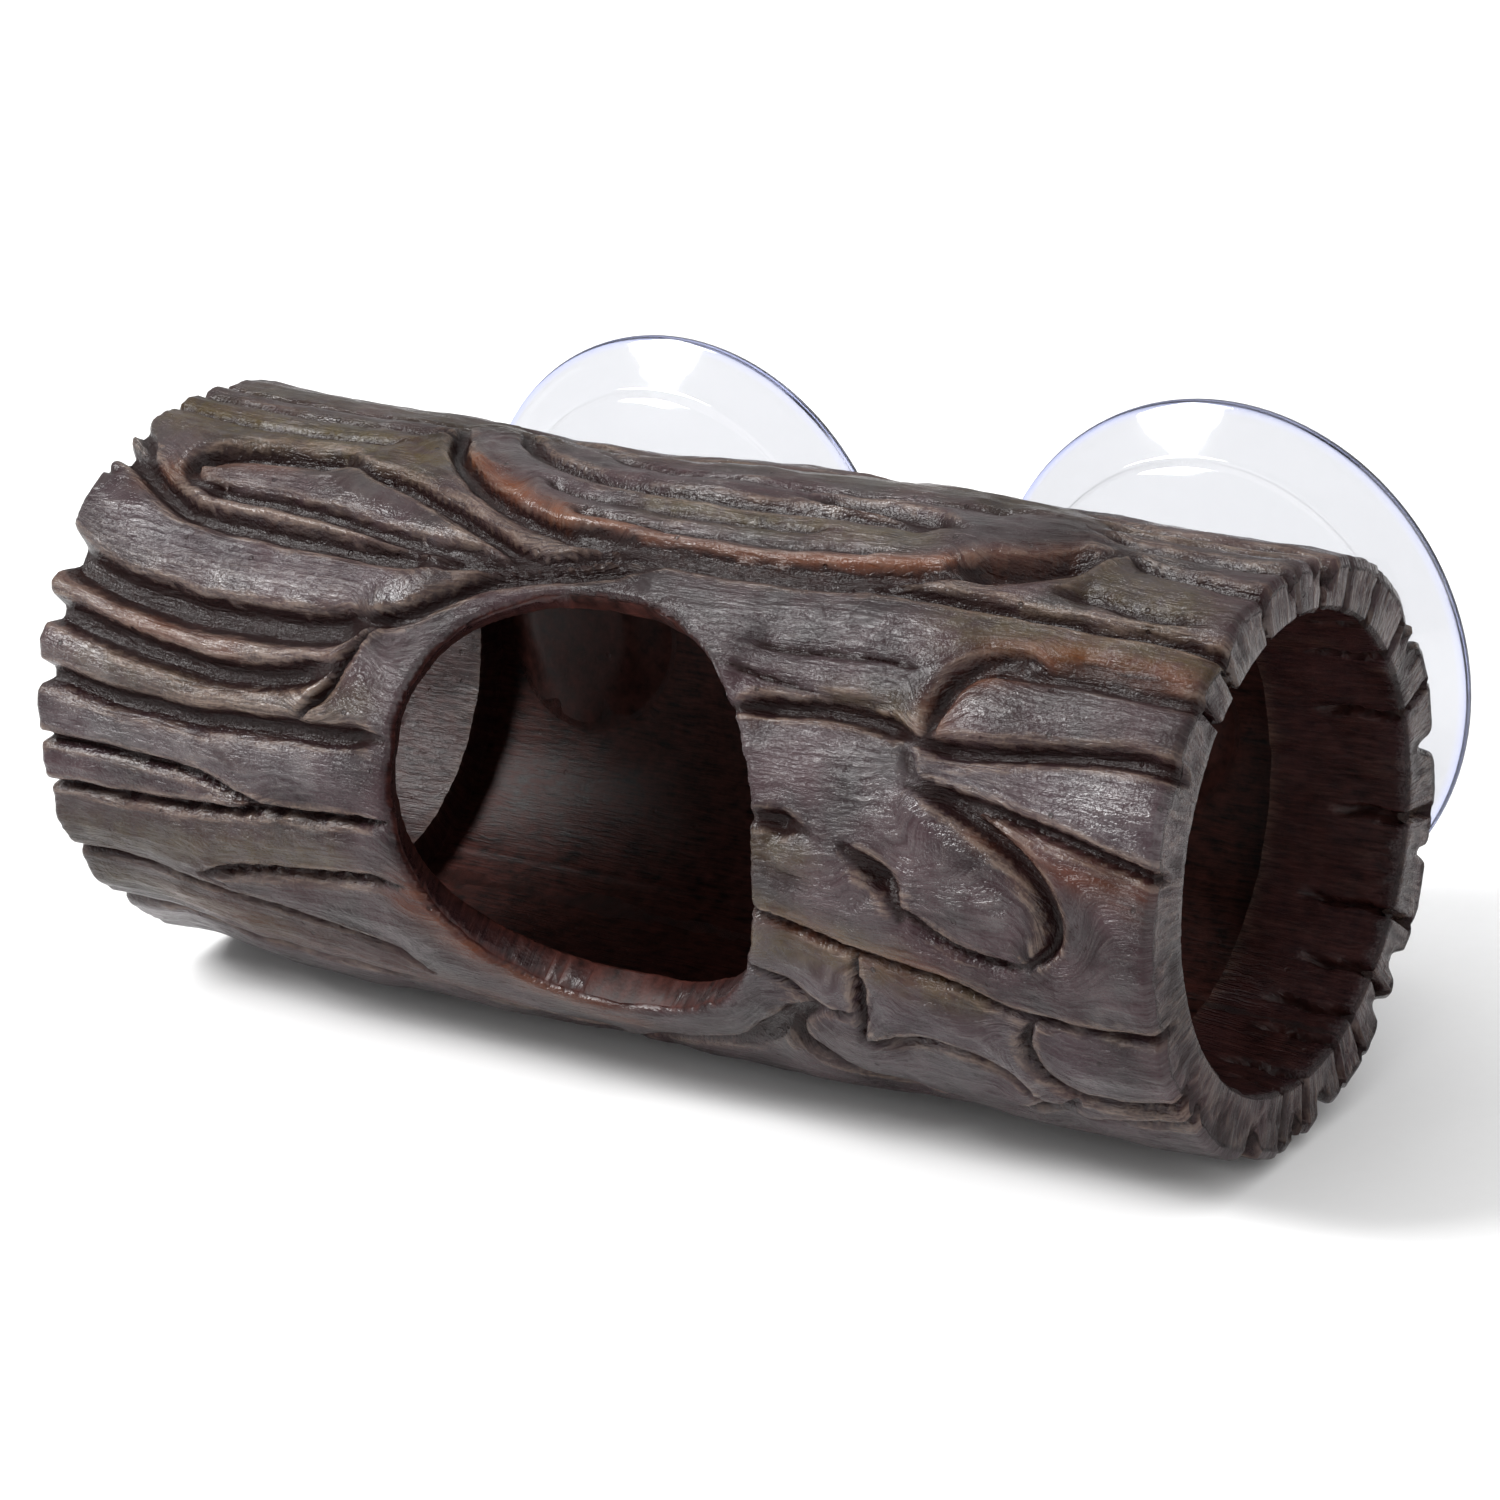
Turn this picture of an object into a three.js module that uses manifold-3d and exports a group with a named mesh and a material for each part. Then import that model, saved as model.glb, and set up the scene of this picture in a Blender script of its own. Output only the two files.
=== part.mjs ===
// A hollow-log cave for an aquarium: one resin casting held to the glass by two clear suction cups.
// Millimetres, +Z up. The origin is on the glass, half way between the cups' centres. +X runs along
// the log, to the right of someone who faces its entrance, and +Y points into the glass.
import * as THREE from "three";
import { mergeVertices } from "three/addons/utils/BufferGeometryUtils.js";
import Module from "manifold-3d";

// The log
const LOG_LENGTH = 199;
const LOG_RADIUS = 44.4; // mean radius over the bark
const CAVITY_WALL = 5.4; // mean bark to the smooth cavity
const RIM_WALL = 9.8; // mean bark to the bore of an end ring, at its mouth
const RIM_TAPER = 1.4; // how much narrower that bore is at its inner edge
const LEFT_RIM_DEPTH = 29;
const RIGHT_RIM_DEPTH = 22;
const END_BEVEL = 1.6; // worn edge between the bark and each end face

// The bark, as long wandering ridges
const BARK_SWING = 1.3; // from the mean radius out to a ridge, and in to a furrow
const BARK_RIDGES = 14;
const BARK_WANDER = 0.2; // radians that a ridge drifts round the log, each way
const SECTOR_COUNT = 70; // facets round the log
const BARK_STATIONS = 20; // facets along the log

// Cracks in the ends
const CRACK_COUNT = 13;
const CRACK_WIDTH = 1.3;
const CRACK_DEPTH = 3.6; // below the mean bark
const CRACK_LENGTH = 9; // along the log, for the longest one

// The entrance, an egg shape in the front of the log, cut square to the bark all round
const ENTRANCE_OFFSET = 3.5; // from the middle of the log, towards +X
const ENTRANCE_RISE = 4; // above the foremost line of the log, measured round the bark
const ENTRANCE_HALF_WIDTH = 32.3;
const ENTRANCE_HALF_ARC = 34; // measured round the bark
// How square each quarter is, from the top right round to the lower right: 1 is straight, 2 an ellipse.
const ENTRANCE_SQUARENESS = [2, 2.4, 2.1, 2.4];
const ENTRANCE_STEPS = 10; // straight stretches in each quarter
const ENTRANCE_LAYERS = 6; // facets through the wall, so that the cut follows its slant

// The suction cups
const CUP_RADIUS = 42.5;
const CUP_SPACING = 103.6; // between the two centres
const CUP_RISE = 1.9; // the cups' centres lie above the log's axis
const CUP_DOME = 15.5; // glass to the top of the dome
const CUP_HOLLOW = 9; // glass to the top of the hollow
const LIP_LAND = 2; // flat ring that seals on the glass
const LIP_EDGE = 0.8; // thickness at the very edge
const DOME_STEP_RADIUS = 33.7; // a faint moulded step on the dome
const DOME_STEP = 0.6;
const SHOULDER_RADIUS = 8.5;
const NECK_RADIUS = 5;
const HEAD_RADIUS = 7.2; // mushroom head that holds the cup in the log
const HEAD_HEIGHT = 4.6;
const CUP_SECTORS = 36;
const DOME_STEPS = 4; // facets across each stretch of the dome
const HOLLOW_STEPS = 6; // facets across the hollow

// How the cups sit in the log
const GLASS_GAP = 23; // glass to the mean bark
const SEAT_RADIUS = 12; // flat round seat on the log's back
const SEAT_PROUD = 3; // above the mean bark
const SOCKET_LIP = 3; // resin round the neck, in front of the mushroom head
const SOCKET_FLOOR = 3; // resin between the head and the cavity
const PAD_RADIUS = 13; // round pad in the cavity that makes room for the socket
const SIDE_CLEARANCE = 0.4; // all round the neck and the head, in the socket
const FACE_CLEARANCE = 0.3; // between the cup and each flat face of the log

// Worked out from the sizes above. Depths are distances from the glass.
const AXIS_DEPTH = GLASS_GAP + LOG_RADIUS;
const CAVITY_RADIUS = LOG_RADIUS - CAVITY_WALL;
const SEAT_DEPTH = GLASS_GAP - SEAT_PROUD;
const SOCKET_DEPTH = SEAT_DEPTH + SOCKET_LIP;
const SOCKET_END = SOCKET_DEPTH + HEAD_HEIGHT + 2 * FACE_CLEARANCE;
const PAD_DEPTH = SOCKET_END + SOCKET_FLOOR;
const CUP_SIDES = { left: -1, right: 1 };

const wasm = await Module();
wasm.setup();

function toSolid(geometry) {
  const bare = geometry.clone();
  bare.deleteAttribute("normal");
  bare.deleteAttribute("uv");
  const merged = mergeVertices(bare, 1e-4);
  return new wasm.Manifold(
    new wasm.Mesh({
      numProp: 3,
      vertProperties: merged.getAttribute("position").array,
      triVerts: new Uint32Array(merged.getIndex().array),
    }),
  );
}

function toGeometry(solid) {
  const mesh = solid.getMesh();
  const geometry = new THREE.BufferGeometry();
  geometry.setAttribute("position", new THREE.BufferAttribute(mesh.vertProperties, 3));
  geometry.setIndex(new THREE.BufferAttribute(mesh.triVerts, 1));
  geometry.computeVertexNormals();
  return geometry;
}

// How far the bark stands above the mean radius, at a place along the log (-1 to 1) and round it.
function barkHeight(along, angle) {
  const drift = BARK_WANDER * Math.sin(Math.PI * along + 2 * Math.sin(angle));
  return BARK_SWING * Math.cos(BARK_RIDGES * (angle + drift));
}

// The barked tube with a thicker ring in each end, turned round the log's axis, which lies on X.
function makeTube() {
  const half = LOG_LENGTH / 2;
  const profile = [];
  for (let i = 0; i <= BARK_STATIONS; i += 1) {
    profile.push(new THREE.Vector2(LOG_RADIUS, (half - END_BEVEL) * ((2 * i) / BARK_STATIONS - 1)));
  }
  const barkPoints = profile.length;
  const mouthRadius = LOG_RADIUS - RIM_WALL;
  const leftStep = -half + LEFT_RIM_DEPTH;
  const rightStep = half - RIGHT_RIM_DEPTH;
  profile.push(
    new THREE.Vector2(LOG_RADIUS - END_BEVEL, half),
    new THREE.Vector2(mouthRadius, half),
    new THREE.Vector2(mouthRadius - RIM_TAPER, rightStep),
    new THREE.Vector2(CAVITY_RADIUS, rightStep),
    new THREE.Vector2(CAVITY_RADIUS, leftStep),
    new THREE.Vector2(mouthRadius - RIM_TAPER, leftStep),
    new THREE.Vector2(mouthRadius, -half),
    new THREE.Vector2(LOG_RADIUS - END_BEVEL, -half),
    profile[0].clone(),
  );
  const tube = new THREE.LatheGeometry(profile, SECTOR_COUNT);
  const places = tube.getAttribute("position");
  for (let index = 0; index < places.count; index += 1) {
    const step = index % profile.length;
    const onBark = step < barkPoints || step === profile.length - 1;
    if (onBark) {
      const angle = (Math.floor(index / profile.length) % SECTOR_COUNT) * ((2 * Math.PI) / SECTOR_COUNT);
      const radius = LOG_RADIUS + barkHeight(places.getY(index) / half, angle);
      places.setX(index, radius * Math.sin(angle));
      places.setZ(index, radius * Math.cos(angle));
    }
  }
  tube.rotateZ(-Math.PI / 2);
  return tube;
}

// The entrance's outline, a superellipse with a squareness of its own in each quarter: across is along
// the log, and up is round the bark.
function entranceOutline() {
  const outline = new THREE.Shape();
  for (let i = 0; i < 4 * ENTRANCE_STEPS; i += 1) {
    const power = 2 / ENTRANCE_SQUARENESS[Math.floor(i / ENTRANCE_STEPS)];
    const angle = (i * Math.PI) / (2 * ENTRANCE_STEPS);
    const across = Math.sign(Math.cos(angle)) * Math.abs(Math.cos(angle)) ** power;
    const up = Math.sign(Math.sin(angle)) * Math.abs(Math.sin(angle)) ** power;
    const x = ENTRANCE_OFFSET + ENTRANCE_HALF_WIDTH * across;
    const arc = ENTRANCE_RISE + ENTRANCE_HALF_ARC * up;
    if (i === 0) outline.moveTo(x, arc);
    else outline.lineTo(x, arc);
  }
  outline.closePath();
  return outline;
}

// A cutter that widens outward from inside the cavity, so that its sides stand square to the bark. Its
// outer end is flat, and lies far enough out to clear the bark all the way across.
function makeEntranceCutter() {
  const nearRadius = CAVITY_RADIUS - RIM_TAPER;
  const farRadius = (LOG_RADIUS + 2 * BARK_SWING) / Math.cos(ENTRANCE_HALF_ARC / LOG_RADIUS);
  const cutter = new THREE.ExtrudeGeometry(entranceOutline(), {
    depth: 1,
    steps: ENTRANCE_LAYERS,
    bevelEnabled: false,
  });
  const places = cutter.getAttribute("position");
  for (let index = 0; index < places.count; index += 1) {
    const angle = places.getY(index) / LOG_RADIUS;
    const radius = nearRadius + (farRadius - nearRadius) * places.getZ(index);
    places.setY(index, -radius * Math.cos(angle));
    places.setZ(index, radius * Math.sin(angle));
  }
  return cutter;
}

// One crack: a thin slab that runs in from an end face, at an angle round the log.
function makeCrackCutter(side, index) {
  const length = CRACK_LENGTH * (0.75 + 0.25 * Math.sin(2.3 * index));
  const above = 2 * BARK_SWING;
  const cutter = new THREE.BoxGeometry(2 * length, CRACK_WIDTH, CRACK_DEPTH + above);
  cutter.translate(0, 0, LOG_RADIUS + (above - CRACK_DEPTH) / 2);
  cutter.rotateX((2 * Math.PI * (index + 0.35 * Math.sin(3.1 * index + side))) / CRACK_COUNT);
  return cutter.translate((side * LOG_LENGTH) / 2, 0, 0);
}

// A round bar that runs straight away from the glass, from one depth to another.
function makeBar(radius, nearDepth, farDepth) {
  const bar = new THREE.CylinderGeometry(radius, radius, farDepth - nearDepth, CUP_SECTORS);
  return bar.translate(0, -(nearDepth + farDepth) / 2, 0);
}

function makeLogCasting() {
  let solid = toSolid(makeTube()).subtract(toSolid(makeEntranceCutter()));
  for (const side of [-1, 1]) {
    for (let index = 0; index < CRACK_COUNT; index += 1) {
      solid = solid.subtract(toSolid(makeCrackCutter(side, index)));
    }
  }
  solid = solid.translate([0, -AXIS_DEPTH, -CUP_RISE]);
  const middleOfWall = GLASS_GAP + CAVITY_WALL / 2;
  for (const side of Object.values(CUP_SIDES)) {
    const place = [(side * CUP_SPACING) / 2, 0, 0];
    const seat = toSolid(makeBar(SEAT_RADIUS, SEAT_DEPTH, middleOfWall)).translate(place);
    const pad = toSolid(makeBar(PAD_RADIUS, middleOfWall, PAD_DEPTH)).translate(place);
    const mouth = toSolid(makeBar(NECK_RADIUS + SIDE_CLEARANCE, SEAT_DEPTH - 1, SOCKET_END));
    const chamber = toSolid(makeBar(HEAD_RADIUS + SIDE_CLEARANCE, SOCKET_DEPTH, SOCKET_END));
    solid = solid.add(seat).add(pad).subtract(mouth.add(chamber).translate(place));
  }
  return toGeometry(solid);
}

// A suction cup, turned round the axis that goes through the glass: lip, dome, shoulder, neck and head.
function makeCup() {
  const hollowRadius = CUP_RADIUS - LIP_LAND;
  const headDepth = SOCKET_DEPTH + FACE_CLEARANCE;
  const profile = [];
  for (let i = 0; i <= HOLLOW_STEPS; i += 1) {
    const radius = (hollowRadius * i) / HOLLOW_STEPS;
    profile.push(new THREE.Vector2(radius, CUP_HOLLOW * (1 - (radius / hollowRadius) ** 2)));
  }
  profile.push(new THREE.Vector2(CUP_RADIUS, 0));
  const domeRise = CUP_DOME - DOME_STEP - LIP_EDGE;
  const domeHeight = (radius) => LIP_EDGE + domeRise * (1 - (radius / CUP_RADIUS) ** 2);
  for (let i = 0; i <= DOME_STEPS; i += 1) {
    const radius = CUP_RADIUS + ((DOME_STEP_RADIUS - CUP_RADIUS) * i) / DOME_STEPS;
    profile.push(new THREE.Vector2(radius, domeHeight(radius)));
  }
  const insideStep = DOME_STEP_RADIUS - DOME_STEP;
  for (let i = 0; i <= DOME_STEPS; i += 1) {
    const radius = insideStep + ((SHOULDER_RADIUS - insideStep) * i) / DOME_STEPS;
    profile.push(new THREE.Vector2(radius, domeHeight(radius) + DOME_STEP));
  }
  profile.push(
    new THREE.Vector2(SHOULDER_RADIUS, SEAT_DEPTH - FACE_CLEARANCE),
    new THREE.Vector2(NECK_RADIUS, SEAT_DEPTH - FACE_CLEARANCE),
    new THREE.Vector2(NECK_RADIUS, headDepth),
    new THREE.Vector2(HEAD_RADIUS, headDepth),
    new THREE.Vector2(HEAD_RADIUS, headDepth + HEAD_HEIGHT / 3),
    new THREE.Vector2(HEAD_RADIUS * 0.6, headDepth + HEAD_HEIGHT),
    new THREE.Vector2(0, headDepth + HEAD_HEIGHT),
  );
  // The profile's heights are depths from the glass, which run towards -Y.
  return new THREE.LatheGeometry(profile, CUP_SECTORS).rotateX(Math.PI);
}

function namedMesh(name, geometry, material) {
  const mesh = new THREE.Mesh(geometry, material);
  mesh.name = name;
  return mesh;
}

const caveOrnament = new THREE.Group();

const paintedResin = new THREE.MeshStandardMaterial({ color: 0x3f3530, roughness: 0.55, metalness: 0 });
caveOrnament.add(namedMesh("log_casting", makeLogCasting(), paintedResin));

for (const [sideName, side] of Object.entries(CUP_SIDES)) {
  const clearVinyl = new THREE.MeshStandardMaterial({
    color: 0xf1f3f8,
    roughness: 0.08,
    metalness: 0,
    transparent: true,
    opacity: 0.35,
  });
  const cup = namedMesh("suction_cup_" + sideName, makeCup(), clearVinyl);
  cup.position.set((side * CUP_SPACING) / 2, 0, 0);
  caveOrnament.add(cup);
}

export default caveOrnament;
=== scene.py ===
import math

import bpy
import numpy as np
from bpy.props import FloatProperty, FloatVectorProperty, IntProperty, PointerProperty
from mathutils import Matrix, Vector


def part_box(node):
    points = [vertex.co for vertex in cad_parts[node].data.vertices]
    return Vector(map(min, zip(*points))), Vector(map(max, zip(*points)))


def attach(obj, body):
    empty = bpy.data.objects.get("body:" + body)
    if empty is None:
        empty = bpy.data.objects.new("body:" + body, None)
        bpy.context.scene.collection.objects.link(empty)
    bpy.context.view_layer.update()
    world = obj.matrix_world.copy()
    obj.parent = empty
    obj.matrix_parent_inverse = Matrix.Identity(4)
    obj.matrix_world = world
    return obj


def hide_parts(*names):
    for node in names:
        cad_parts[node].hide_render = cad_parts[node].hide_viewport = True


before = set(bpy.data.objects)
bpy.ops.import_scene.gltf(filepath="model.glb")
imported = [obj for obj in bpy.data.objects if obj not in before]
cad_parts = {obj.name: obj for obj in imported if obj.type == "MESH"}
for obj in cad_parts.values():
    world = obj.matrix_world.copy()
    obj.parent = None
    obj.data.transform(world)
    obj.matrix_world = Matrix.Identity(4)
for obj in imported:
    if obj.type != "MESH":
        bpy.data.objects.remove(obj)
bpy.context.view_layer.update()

bl_info = {
    "name": "Hollow Log Cave",
    "version": (1, 0, 0),
    "blender": (4, 5, 0),
    "location": "View3D > Sidebar > Log Cave",
    "description": "Builds a cast resin log for an aquarium, its two suction cups and a plain studio",
    "category": "Add Mesh",
}

MM = 0.001
TURN = 2 * math.pi


def linear(code):
    """Turns an sRGB hex code into the linear red, green and blue that Blender uses."""
    channels = [int(code[i : i + 2], 16) / 255 for i in (1, 3, 5)]
    return tuple(c / 12.92 if c <= 0.04045 else ((c + 0.055) / 1.055) ** 2.4 for c in channels)


# ---- Where the casting and the cups lie, from the frame, in millimetres ----

BARK_CREST = 1.3  # the frame's bark stands this far above its mean radius
LOG_LOW, LOG_HIGH = (np.array(corner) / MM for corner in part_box("log_casting"))
HALF_LENGTH = (LOG_HIGH[0] - LOG_LOW[0]) / 2
LOG_RADIUS = (LOG_HIGH[2] - LOG_LOW[2]) / 2 - BARK_CREST
LOG_AXIS = np.array(
    [
        (LOG_LOW[0] + LOG_HIGH[0]) / 2,
        LOG_LOW[1] + LOG_RADIUS + BARK_CREST,
        (LOG_LOW[2] + LOG_HIGH[2]) / 2,
    ]
)
CUP_BODIES = {"suction_cup_left": "left_cup", "suction_cup_right": "right_cup"}


def cup_centre(node):
    """The middle of a cup's lip, on the glass, in millimetres."""
    low, high = (np.array(corner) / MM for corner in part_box(node))
    return np.array([(low[0] + high[0]) / 2, high[1], (low[2] + high[2]) / 2])


def cup_radius(node):
    low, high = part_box(node)
    return (high[0] - low[0]) / 2 / MM


# ---- The bark's furrows, as the sculptor cut them ----
# Each has a half width and a depth in millimetres, how far its upper bank stands above its lower one,
# and its course: (millimetres along the log from its middle, degrees round it from the front, upward).

FURROWS = [
    # the long split from the left end, through the knot over the entrance, to the right end
    (1.5, 1.7, 0.3, [(-101, 67), (-93, 62.5), (-86, 57.5), (-79, 53.8), (-66, 52), (-48, 51), (-28, 51)]),
    (0.9, 1.6, 0.4, [(-34, 51.2), (-20, 52.5), (-9, 56), (2, 59), (24, 59.2), (48, 60.6), (72, 60), (101, 58.6)]),
    # the hooked loop at the upper left, and the leaf inside it
    (2.0, 2.2, 0.0, [(-81, 60.5), (-83.2, 64), (-81, 68.3), (-75, 71.6), (-64, 73), (-53, 72)]),
    (1.1, 1.7, 0.2, [(-56, 72.4), (-44, 69), (-34, 65), (-24, 59.6), (-16, 55.6), (-8, 54.6)]),
    (1.2, 1.4, 0.2, [(-82, 61), (-75, 59.4), (-62, 58.6), (-48, 56.8), (-34, 54.8), (-18, 53.8)]),
    (1.0, 0.8, 0.5, [(-101, 75), (-95, 68), (-90, 61)]),
    # fine splits in the top plates
    (0.6, 0.6, 0.3, [(-101, 84), (-82, 82), (-64, 81.6), (-49, 84)]),
    (0.7, 0.7, 0.3, [(-101, 92), (-80, 89.5), (-62, 89), (-46, 93)]),
    (0.6, 0.6, 0.3, [(-101, 99), (-82, 97), (-60, 97), (-44, 102)]),
    (0.5, 0.5, 0.2, [(-26, 79), (-8, 74), (12, 72), (34, 73)]),
    (0.5, 0.4, 0.2, [(-18, 71), (2, 67.4), (24, 67), (46, 70)]),
    (0.7, 0.6, 0.3, [(-22, 96), (0, 90), (30, 90), (58, 93)]),
    (0.7, 0.6, 0.3, [(62, 98), (80, 96), (101, 97)]),
    # the slanting split that climbs over the top of the log
    (1.3, 1.6, 0.5, [(-49, 98), (-43, 85.5), (-36, 76.5), (-29, 70.6), (-20, 65.8), (-9, 62), (2, 61)]),
    (1.5, 1.5, 1.0, [(-14, 64.5), (0, 62), (20, 61.4), (36, 62.6), (46, 64.2), (56, 67)]),
    (2.6, 2.4, 0.5, [(53, 66.5), (59, 69.6), (65, 73.2), (70, 77.5), (74.5, 81.5)]),
    (1.3, 1.3, 0.3, [(-39, 101), (-31, 91), (-22, 86.5), (-12, 82), (0, 79.6), (16, 79.2), (34, 80), (50, 80)]),
    (1.5, 1.3, 0.2, [(20, 84.6), (32, 84.8), (42, 83.4), (50, 80)]),
    (1.0, 1.1, 0.3, [(74, 84), (80, 80), (90, 77.6), (101, 76)]),
    (1.2, 1.2, 0.3, [(66, 91), (78, 88.5), (90, 87), (101, 87)]),
    (0.9, 0.7, 0.2, [(68, 66), (76, 67.5), (84, 64.5), (96, 64)]),
    # the sweeping furrows of the left half
    (2.5, 2.4, 0.5, [(-101, 42), (-94, 38), (-85, 34.8), (-72, 32.6), (-58, 31.8), (-45, 33), (-36, 36.4)]),
    (1.3, 1.7, 0.3, [(-40, 34.6), (-32, 38.4), (-26, 43), (-20, 48.4), (-11, 52), (0, 55), (8, 57.6)]),
    (1.9, 2.0, 0.3, [(-101, 28.6), (-93, 27), (-82, 24.2), (-70, 21.6), (-58, 21.2), (-48, 23.4), (-41, 26.4)]),
    (1.5, 1.7, 0.3, [(-101, 15.2), (-90, 13.2), (-76, 11.3), (-60, 11.4), (-44, 12.2), (-30, 13.6)]),
    (0.8, 1.5, 0.0, [(-47.8, 13.8), (-44.6, 18), (-41.4, 23), (-39, 29), (-35, 35.4)]),
    (0.8, 1.4, 0.5, [(-101, 1.2), (-88, 0.6), (-74, 0), (-64, -1.6), (-56, -4.2), (-50, -5)]),
    (0.8, 1.7, 0.7, [(-101, -9.4), (-88, -9.2), (-72, -8.4), (-60, -7), (-50, -5), (-38, -4.4), (-29, -2.6)]),
    (0.9, 1.5, 0.5, [(-71, -24.6), (-64, -22), (-55, -20), (-42, -17.8), (-28, -15.8)]),
    (0.9, 1.4, 0.7, [(-101, -27.4), (-86, -27), (-75, -28), (-64, -30), (-52, -32.6), (-38, -36), (-31, -42)]),
    (1.2, 1.3, 0.5, [(-101, -46), (-84, -45), (-66, -48), (-44, -50), (-20, -54), (4, -60)]),
    # right of the entrance: the arched knot and the long furrows to the right end
    (1.3, 1.8, 0.4, [(29, 30.6), (35, 32.6), (44, 34), (53, 33.4), (61, 30.8)]),
    (1.2, 1.6, 0.3, [(58, 31), (68, 30.6), (80, 32.4), (91, 33.8), (101, 33)]),
    (1.4, 1.5, 0.0, [(61.4, 30.6), (61.6, 36), (62.4, 42), (65.4, 47), (71, 49.6), (76.5, 48.6)]),
    (1.0, 1.1, 0.5, [(64, 45.4), (72, 47.2), (84, 47.4), (101, 46.2)]),
    (1.3, 0.6, 0.0, [(74, 49.4), (84, 49.8), (98, 49)]),
    (1.6, 1.4, 0.0, [(58.6, 29.6), (60.4, 25.4), (61.6, 23.4)]),
    (0.9, 1.5, 0.5, [(60.4, 24.4), (70, 21.6), (80, 19.4), (90, 16.6), (101, 13.4)]),
    (0.4, 0.5, 0.0, [(26, 43.6), (40, 44.6), (52, 45.2), (60, 44.6)]),
    (0.5, 0.5, 0.3, [(24, 39.6), (34, 38), (46, 36.6), (58, 36.8)]),
    # the long tongue with its round end, and the pits beside it
    (1.1, 1.7, -0.6, [(60, 23), (67, 20.4), (74, 16.6), (80, 11), (84, 4.6), (84.4, -2), (80.4, -6.2)]),
    (0.8, 1.1, 0.6, [(82, -5.8), (75, -7), (67, -4.6), (60, -0.6), (56.4, 2.6)]),
    (1.5, 1.7, 0.0, [(34, 11.8), (39, 12.4), (45.6, 11)]),
    (2.2, 0.9, 0.0, [(39.6, 3.2), (43.6, 1.4), (46.6, 1)]),
    (1.7, 2.0, 0.0, [(51.4, 9.6), (55.4, 7), (58.6, 3), (60, -2.6)]),
    (0.8, 1.4, 1.0, [(34.6, -5), (44, -8.8), (56, -12.3), (68, -14.4), (77, -18), (90, -18.3), (101, -17)]),
    # the cobbled plates at the lower right
    (0.8, 1.5, 0.0, [(51.4, -11.6), (51, -17), (49.8, -24), (48.6, -34)]),
    (0.8, 1.4, 0.4, [(32.4, -17.6), (38, -22), (43, -27), (49, -27.6)]),
    (1.0, 1.5, 0.8, [(48.8, -34), (56, -33), (62, -31.8), (69, -33.4), (73, -38), (75.4, -44)]),
    (1.1, 1.6, 0.0, [(79.4, -18.8), (77.4, -25), (78, -32), (82, -37.4), (90, -38.6), (101, -34.6)]),
    (1.6, 1.6, 0.3, [(43, -27.6), (38, -31), (36, -37), (38.4, -45), (43, -52), (56, -57)]),
    (1.7, 1.5, 0.4, [(40, -30), (33, -37), (26, -45), (16, -51.6), (6, -57), (-6, -66)]),
    (1.3, 1.4, 0.4, [(70, -49), (77, -46), (82, -40)]),
    (1.0, 1.2, 0.4, [(80, -47.6), (88, -46.4), (101, -41)]),
]
CARVING = 1.25  # the furrows' depths are all multiplied by this
HIDDEN_FURROWS = 13  # long furrows round the back and underneath, where the sculptor worked more plainly
HIDDEN_FROM, HIDDEN_TO = 104, 296  # degrees

# The mean radius swells and thins along the log: (millimetres along it, millimetres of swell).
CROWN_SWELL = [(-100, 2.0), (-88, 1.3), (-60, 0.9), (-20, -0.8), (8, 0.4), (46, 0.1), (70, -1.4), (100, -1.9)]
BELLY_SWELL = [(-100, -1.4), (-86, -1.3), (-68, 0.7), (-10, 1.0), (30, 0.2), (58, -0.9), (84, 0.0), (100, -0.3)]
CROWN_ANGLE, BELLY_ANGLE = 100, -66  # degrees

# Saw cuts in the ends: degrees round the log.
RIGHT_CUTS = [48, 58, 76, 90, 101, 113, 127, 143, 163, 190, 213, 229, 242.5, 252.5, 269, 279]
LEFT_CUTS = [-170, -150, -128, -108, -86, -64, 60, 84, 98, 112, 140, 156, 172]
CUT_RUN = 16  # millimetres that the saw cuts run in along a bore
END_ROUND = 1.3  # millimetres of worn edge between the bark and an end face

# Strokes of thin glaze over the base coat, and of painted shade: (millimetres of radius, strength, course as above).
AMBER_STROKES = [
    (2.2, 0.9, [(-34, 78), (-24, 72), (-12, 66.5)]),
    (1.4, 0.8, [(-42, 84), (-33, 78.5), (-25, 73), (-12, 67.5), (10, 63.5), (25, 63), (40, 65.5), (52, 68.5)]),
    (2.2, 0.6, [(52, 68.5), (60, 73), (68, 79)]),
    (3.0, 0.5, [(62, 36), (64, 43), (69, 48), (76, 50)]),
    (2.4, 0.5, [(66, 50.5), (80, 51.5), (96, 50)]),
    (2.4, 0.4, [(72, 17), (84, 14), (97, 10)]),
    (4.5, 0.6, [(-27, -19), (-20, -27), (-9, -36), (4, -43)]),
    (2.6, 0.45, [(-90, 60), (-78, 66), (-66, 70)]),
    (3.0, 0.4, [(-96, 36), (-80, 29), (-62, 26)]),
    (2.4, 0.4, [(40, -8), (52, -11), (66, -13)]),
    (4.0, 0.35, [(-80, -36), (-50, -42), (-20, -48)]),
]
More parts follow.
